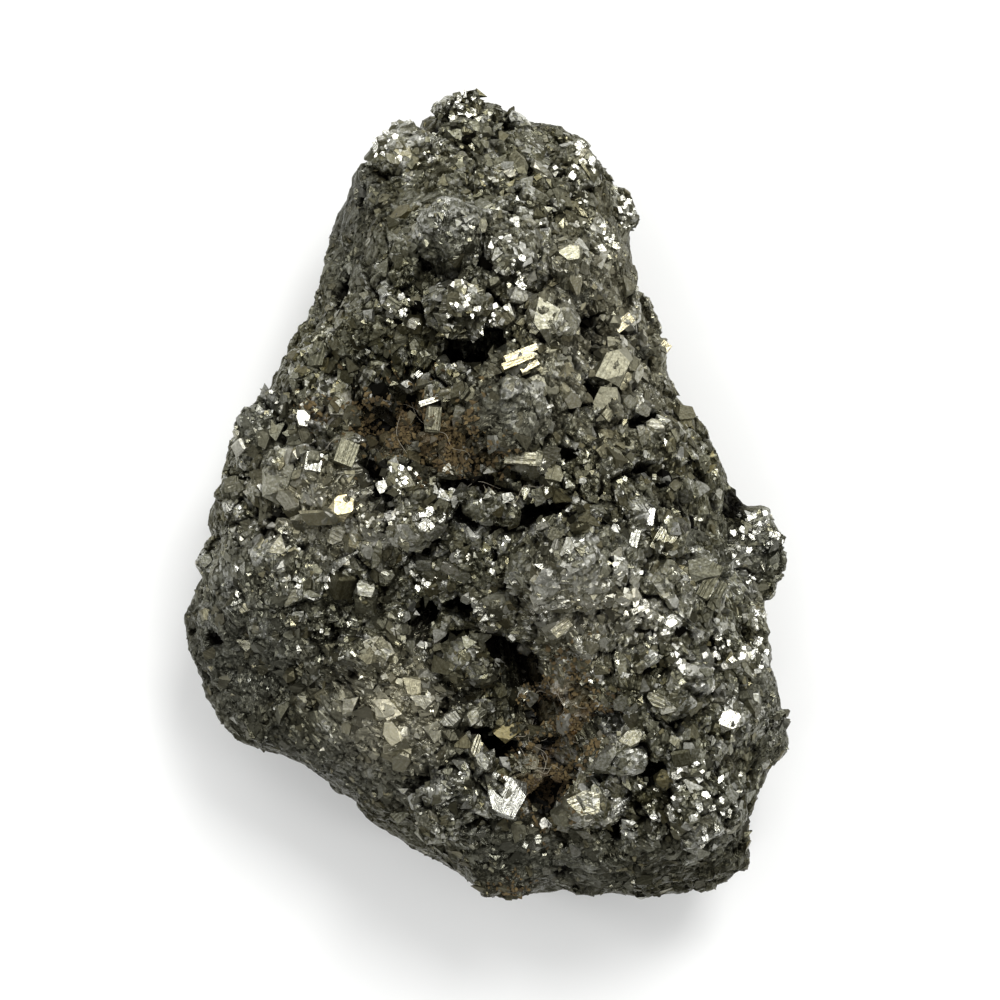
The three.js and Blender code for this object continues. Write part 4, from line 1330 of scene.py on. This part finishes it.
def pyrite_colour(tree, look, tone, film_share):
    """Tarnish by tone, with films laid over it one after the other: blue-grey, tan, brass, rust and
    soot-black.
    The blue-grey on steep flanks and the soot-black in pockets and crevices are painted shade, and the tan
    is partly painted light.
    """
    ramp = add(tree, "ValToRGB", {"Fac": tone})
    tarnish = ramp.node.color_ramp.elements
    tarnish[0].color = linear(TARNISH_DARK)
    tarnish[1].color = linear(TARNISH_BRIGHT)
    tarnish.new(0.5).color = linear(TARNISH_MID)
    cooled = add(tree, "Math", {0: look["cool"], 1: COOL_FILM_AND_SHADE}, operation="MULTIPLY")
    paled = add(tree, "Math", {0: look["pale"], 1: PALE_FILM_AND_LIGHT}, operation="MULTIPLY")
    rusted = add(tree, "Math", {0: look["rust"], 1: film_share}, operation="MULTIPLY")
    shares = (cooled, paled, look["brass"], rusted, look["soot_and_shade"])
    colour = ramp
    for share, film in zip(shares, (BLUE_GREY, TAN_FILM_AND_LIGHT, BRASS, RUST_BROWN, SOOT_AND_SHADE), strict=True):
        colour = add(tree, "Mix", {0: share, 6: colour, 7: linear(film)}, **COLOURS)
    return colour


# %% Tarnished pyrite crystal
STRIAE_PER_MM = 4.0
STRIAE_RUN = 0.25  # along an edge the lines change this often, per mm
PITS_PER_MM = 4.5
crystal_pyrite, tree, shader = material("tarnished_pyrite_crystal")
look = {name: add(tree, "Attribute", out="Fac", attribute_name=name) for name in (*LOOKS, "striae")}
place = add(tree, "TexCoord", out="Object")
film = add(tree, "TexNoise", {"Vector": place, "Scale": 4.0 * PER_METRE, "Detail": 5.0, "Roughness": 0.7})
film_share = {"Value": film, "From Min": 0.3, "From Max": 0.7, "To Min": 0.4, "To Max": 1.6}
blotched = add(tree, "Math", {0: film, 1: 1.6, 2: -0.85}, **TIMES_PLUS)
tone = add(tree, "Math", {0: look["tone"], 1: blotched}, operation="ADD")
roughness = add(tree, "MapRange", {"Value": look["polish"], "To Min": 0.46, "To Max": 0.13})
for dirt in (look["rust"], look["soot_and_shade"]):
    roughness = add(tree, "Math", {0: dirt, 1: 0.4, 2: roughness}, **TIMES_PLUS)
faces = add(tree, "UVMap", uv_map="faces")
edgewise = add(tree, "Mapping", {"Vector": faces, "Scale": (STRIAE_RUN, STRIAE_PER_MM, 1.0)})
lines = add(tree, "TexNoise", {"Vector": edgewise, "Scale": 1.0, "Detail": 2.0}, noise_dimensions="2D")
striae = add(tree, "Math", {0: lines, 1: look["striae"]}, operation="MULTIPLY")
pits = add(tree, "TexVoronoi", {"Vector": place, "Scale": PITS_PER_MM * PER_METRE}, out="Distance")
steps = add(tree, "TexNoise", {"Vector": place, "Scale": 1.2 * PER_METRE, "Detail": 2.0})
height = 0.0
for relief_layer, weight in ((striae, 1.8), (pits, 0.15), (steps, 1.3), (film, 0.4)):
    height = add(tree, "Math", {0: relief_layer, 1: weight, 2: height}, **TIMES_PLUS)
link_shader(tree, shader, {
    "Base Color": pyrite_colour(tree, look, tone, add(tree, "MapRange", film_share)),
    "Roughness": roughness,
    "Metallic": add(tree, "MapRange", {"Value": look["rust"], "To Min": 0.95, "To Max": 0.0}),
    "Normal": add(tree, "Bump", {"Strength": 0.9, "Distance": 0.1 * MM, "Height": height}),
})
print(crystal_pyrite.name + ":", len(tree.nodes), "nodes")

# %% [markdown]
# ### Fine-grained pyrite
# The skin between the crystals is the same mineral in grains too small to see singly, so it scatters more
# and reflects less: darker, rougher, with a sparkle from tiny leaning facets. Each cell of a Voronoi
# pattern leans its own way, and the bump map turns those leans into glints.

# %% Fine-grained pyrite
GRAINS_PER_MM = 3.2
mass_pyrite, tree, shader = material("fine_grained_pyrite")
look = {name: add(tree, "Attribute", out="Fac", attribute_name=name) for name in LOOKS}
place = add(tree, "TexCoord", out="Object")
film = add(tree, "TexNoise", {"Vector": place, "Scale": 1.3 * PER_METRE, "Detail": 5.0, "Roughness": 0.7})
film_share = {"Value": film, "From Min": 0.3, "From Max": 0.7, "To Min": 0.5, "To Max": 1.7}
cells = add(tree, "TexVoronoi", {"Vector": place, "Scale": GRAINS_PER_MM * PER_METRE}, out="Color")
red = add(tree, "SeparateColor", {"Color": cells})
blotched = add(tree, "Math", {0: film, 1: 0.97}, operation="SUBTRACT")
grained = add(tree, "Math", {0: red, 1: 0.7, 2: blotched}, **TIMES_PLUS)
tone = add(tree, "Math", {0: grained, 1: look["tone"]}, operation="ADD")
green = red.node.outputs["Green"]
shine = add(tree, "Math", {0: green, 1: look["polish"]}, operation="ADD")
centre = cells.node.outputs["Position"]
from_centre = add(tree, "VectorMath", {0: place, 1: centre}, operation="SUBTRACT")
lean = add(tree, "VectorMath", {0: cells, 1: (0.5, 0.5, 0.5)}, operation="SUBTRACT")
facet = add(tree, "VectorMath", {0: from_centre, 1: lean}, out="Value", operation="DOT_PRODUCT")
height = add(tree, "Math", {0: film, 1: 0.15 * MM, 2: facet}, **TIMES_PLUS)
link_shader(tree, shader, {
    "Base Color": pyrite_colour(tree, look, tone, add(tree, "MapRange", film_share)),
    "Roughness": add(tree, "MapRange", {"Value": shine, "From Max": 2.0, "To Min": 0.6, "To Max": 0.1}),
    "Metallic": add(tree, "MapRange", {"Value": look["rust"], "To Min": 0.85, "To Max": 0.0}),
    "Normal": add(tree, "Bump", {"Strength": 1.0, "Distance": 1.0, "Height": height}),
})
print(mass_pyrite.name + ":", len(tree.nodes), "nodes")

# %% [markdown]
# ### Limonite and lint
# Limonite is an earth, so it has no metal in it and no shine: ochre where a crumb's own tone and blotches
# are high, dark brown where they are low, and browner the deeper it lies in a pocket, which is painted
# shade. Lint is cotton, dull and pale, greyed by the rock's dust.

# %% Limonite
OCHRE = "#6c5c3a"
DARK_BROWN = "#3a2c14"
limonite, tree, shader = material("earthy_limonite")
look = {name: add(tree, "Attribute", out="Fac", attribute_name=name) for name in ("tone", "deep")}
place = add(tree, "TexCoord", out="Object")
blotch = add(tree, "TexNoise", {"Vector": place, "Scale": 0.8 * PER_METRE, "Detail": 4.0})
# Painted shade: crumbs turn browner the deeper they lie in a pocket.
pocket_shade = add(tree, "Math", {0: look["deep"], 1: 0.35}, operation="ADD")
lit = add(tree, "Math", {0: look["tone"], 1: 0.7, 2: blotch}, **TIMES_PLUS)
dry = add(tree, "Math", {0: lit, 1: pocket_shade}, operation="SUBTRACT")
pores = add(tree, "TexNoise", {"Vector": place, "Scale": 9 * PER_METRE, "Detail": 3.0})
shader.inputs["Roughness"].default_value = 0.92
link_shader(tree, shader, {
    "Base Color": add(tree, "Mix", {0: dry, 6: linear(DARK_BROWN), 7: linear(OCHRE)}, **COLOURS),
    "Normal": add(tree, "Bump", {"Strength": 0.8, "Distance": 0.06 * MM, "Height": pores}),
})
print(limonite.name + ":", len(tree.nodes), "nodes")

# %% Lint
DUSTY_LINT = "#6d6656"
CLEAN_LINT = "#c4bca8"
cotton, tree, shader = material("dusty_cotton_lint")
place = add(tree, "TexCoord", out="Object")
dust = add(tree, "TexNoise", {"Vector": place, "Scale": 1.0 * PER_METRE, "Detail": 3.0})
shader.inputs["Roughness"].default_value = 0.85
link_shader(tree, shader, {
    "Base Color": add(tree, "Mix", {0: dust, 6: linear(DUSTY_LINT), 7: linear(CLEAN_LINT)}, **COLOURS),
})
print(cotton.name + ":", len(tree.nodes), "nodes")

# %% Finishes on the pieces
for piece in mass_pieces:
    piece.data.materials.append(mass_pyrite)
    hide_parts(NODE)
crystal_pieces = [
    spangles, shards, grains, coarse_crystals, pocket_crystals, listed_crystals, bright_clusters,
    broken_faces,
]
for piece in crystal_pieces:
    piece.data.materials.append(crystal_pyrite)
rust_crumbs.data.materials.append(limonite)
lint.data.materials.append(cotton)
growths = [*crystal_pieces, rust_crumbs, lint]
for piece in mass_pieces + growths:
    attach(piece, "root")
print("all pieces:", sum(triangle_count(piece) for piece in mass_pieces + growths), "triangles")

# %% [markdown]
# ## Floor and light
# A plain pale sheet, and panels round the specimen. Metal shows only what it reflects. Large soft panels
# give the faces their middle tones, small bright ones make the glints, and the gaps between them leave the
# rest dark.

# %% Floor
FLOOR_HALF = 0.7
FLOOR_GAP = 0.05 * MM
FLOOR_WHITE = "#f1f1ef"
floor_corners = np.array([(-1, -1, 0), (1, -1, 0), (1, 1, 0), (-1, 1, 0)]) * FLOOR_HALF
floor = put_mesh("floor", floor_corners + (0, 0, box_low[2] - FLOOR_GAP), np.arange(4), np.array([4]))
floor_paper, tree, shader = material("pale_paper")
shader.inputs["Base Color"].default_value = linear(FLOOR_WHITE)
shader.inputs["Roughness"].default_value = 0.9
floor.data.materials.append(floor_paper)
print("floor, m across:", 2 * FLOOR_HALF)

# %% Panels
# Each row: name, azimuth clockwise from +Y, elevation, distance, width and height in metres, radiance
PANELS = [
    ("key_panel", KEY_AZIMUTH, KEY_ELEVATION, 0.75, 0.22, 0.22, 18.0),
    ("left_panel", -70, 42, 0.80, 0.12, 0.24, 7.0),
    ("right_panel", 110, 45, 0.80, 0.10, 0.22, 9.0),
    ("near_panel", 190, 58, 0.85, 0.14, 0.10, 5.0),
    ("top_panel", -120, 74, 0.80, 0.09, 0.09, 11.0),
    ("far_softbox", 5, 38, 0.95, 0.95, 0.40, 2.1),
    ("left_softbox", -60, 62, 0.95, 0.40, 0.45, 1.3),
    ("right_softbox", 75, 66, 0.95, 0.35, 0.40, 1.1),
]
for name, azimuth, elevation, away, width, height, radiance in PANELS:
    lamp = bpy.data.lights.new(name, "AREA")
    lamp.shape = "RECTANGLE"
    lamp.size, lamp.size_y = width, height
    lamp.energy = radiance * math.pi * width * height
    holder = bpy.data.objects.new(name, lamp)
    bpy.context.scene.collection.objects.link(holder)
    back = Vector(compass(azimuth, elevation))
    holder.location = Vector(middle) + back * away
    holder.rotation_euler = back.to_track_quat("Z", "Y").to_euler()
    holder.visible_camera = False
print("panels:", len(PANELS))

# %% [markdown]
# ### The air
# The room round the panels is a white tent for the paper, which scatters light from everywhere, and dim for
# the metal, which would otherwise show the tent in every face and look like plaster. A lit studio with
# walls would do the same, but a world background that asks each ray what it is takes no geometry.

# %% Air
TENT = 0.7
TENT_IN_METAL = 0.12
TENT_WHITE = "#f2f3f5"
METAL_SEES = "#efece0"
BACKDROP_WHITE = "#f2f2f0"
world = bpy.data.worlds.new("studio_air")
bpy.context.scene.world = world
world.use_nodes = True
tree = world.node_tree
glossy_ray = add(tree, "LightPath", out="Is Glossy Ray")
camera_ray = glossy_ray.node.outputs["Is Camera Ray"]
tent = add(tree, "Background", {"Color": linear(TENT_WHITE), "Strength": TENT})
dim_tent = add(tree, "Background", {"Color": linear(METAL_SEES), "Strength": TENT_IN_METAL})
backdrop = add(tree, "Background", {"Color": linear(BACKDROP_WHITE), "Strength": 1.0})
unseen = add(tree, "MixShader", {0: glossy_ray, 1: tent, 2: dim_tent})
shown = add(tree, "MixShader", {0: camera_ray, 1: unseen, 2: backdrop})
tree.links.new(shown, tree.nodes["World Output"].inputs["Surface"])
bpy.context.scene.view_settings.view_transform = "Standard"
print("air:", len(tree.nodes), "nodes")
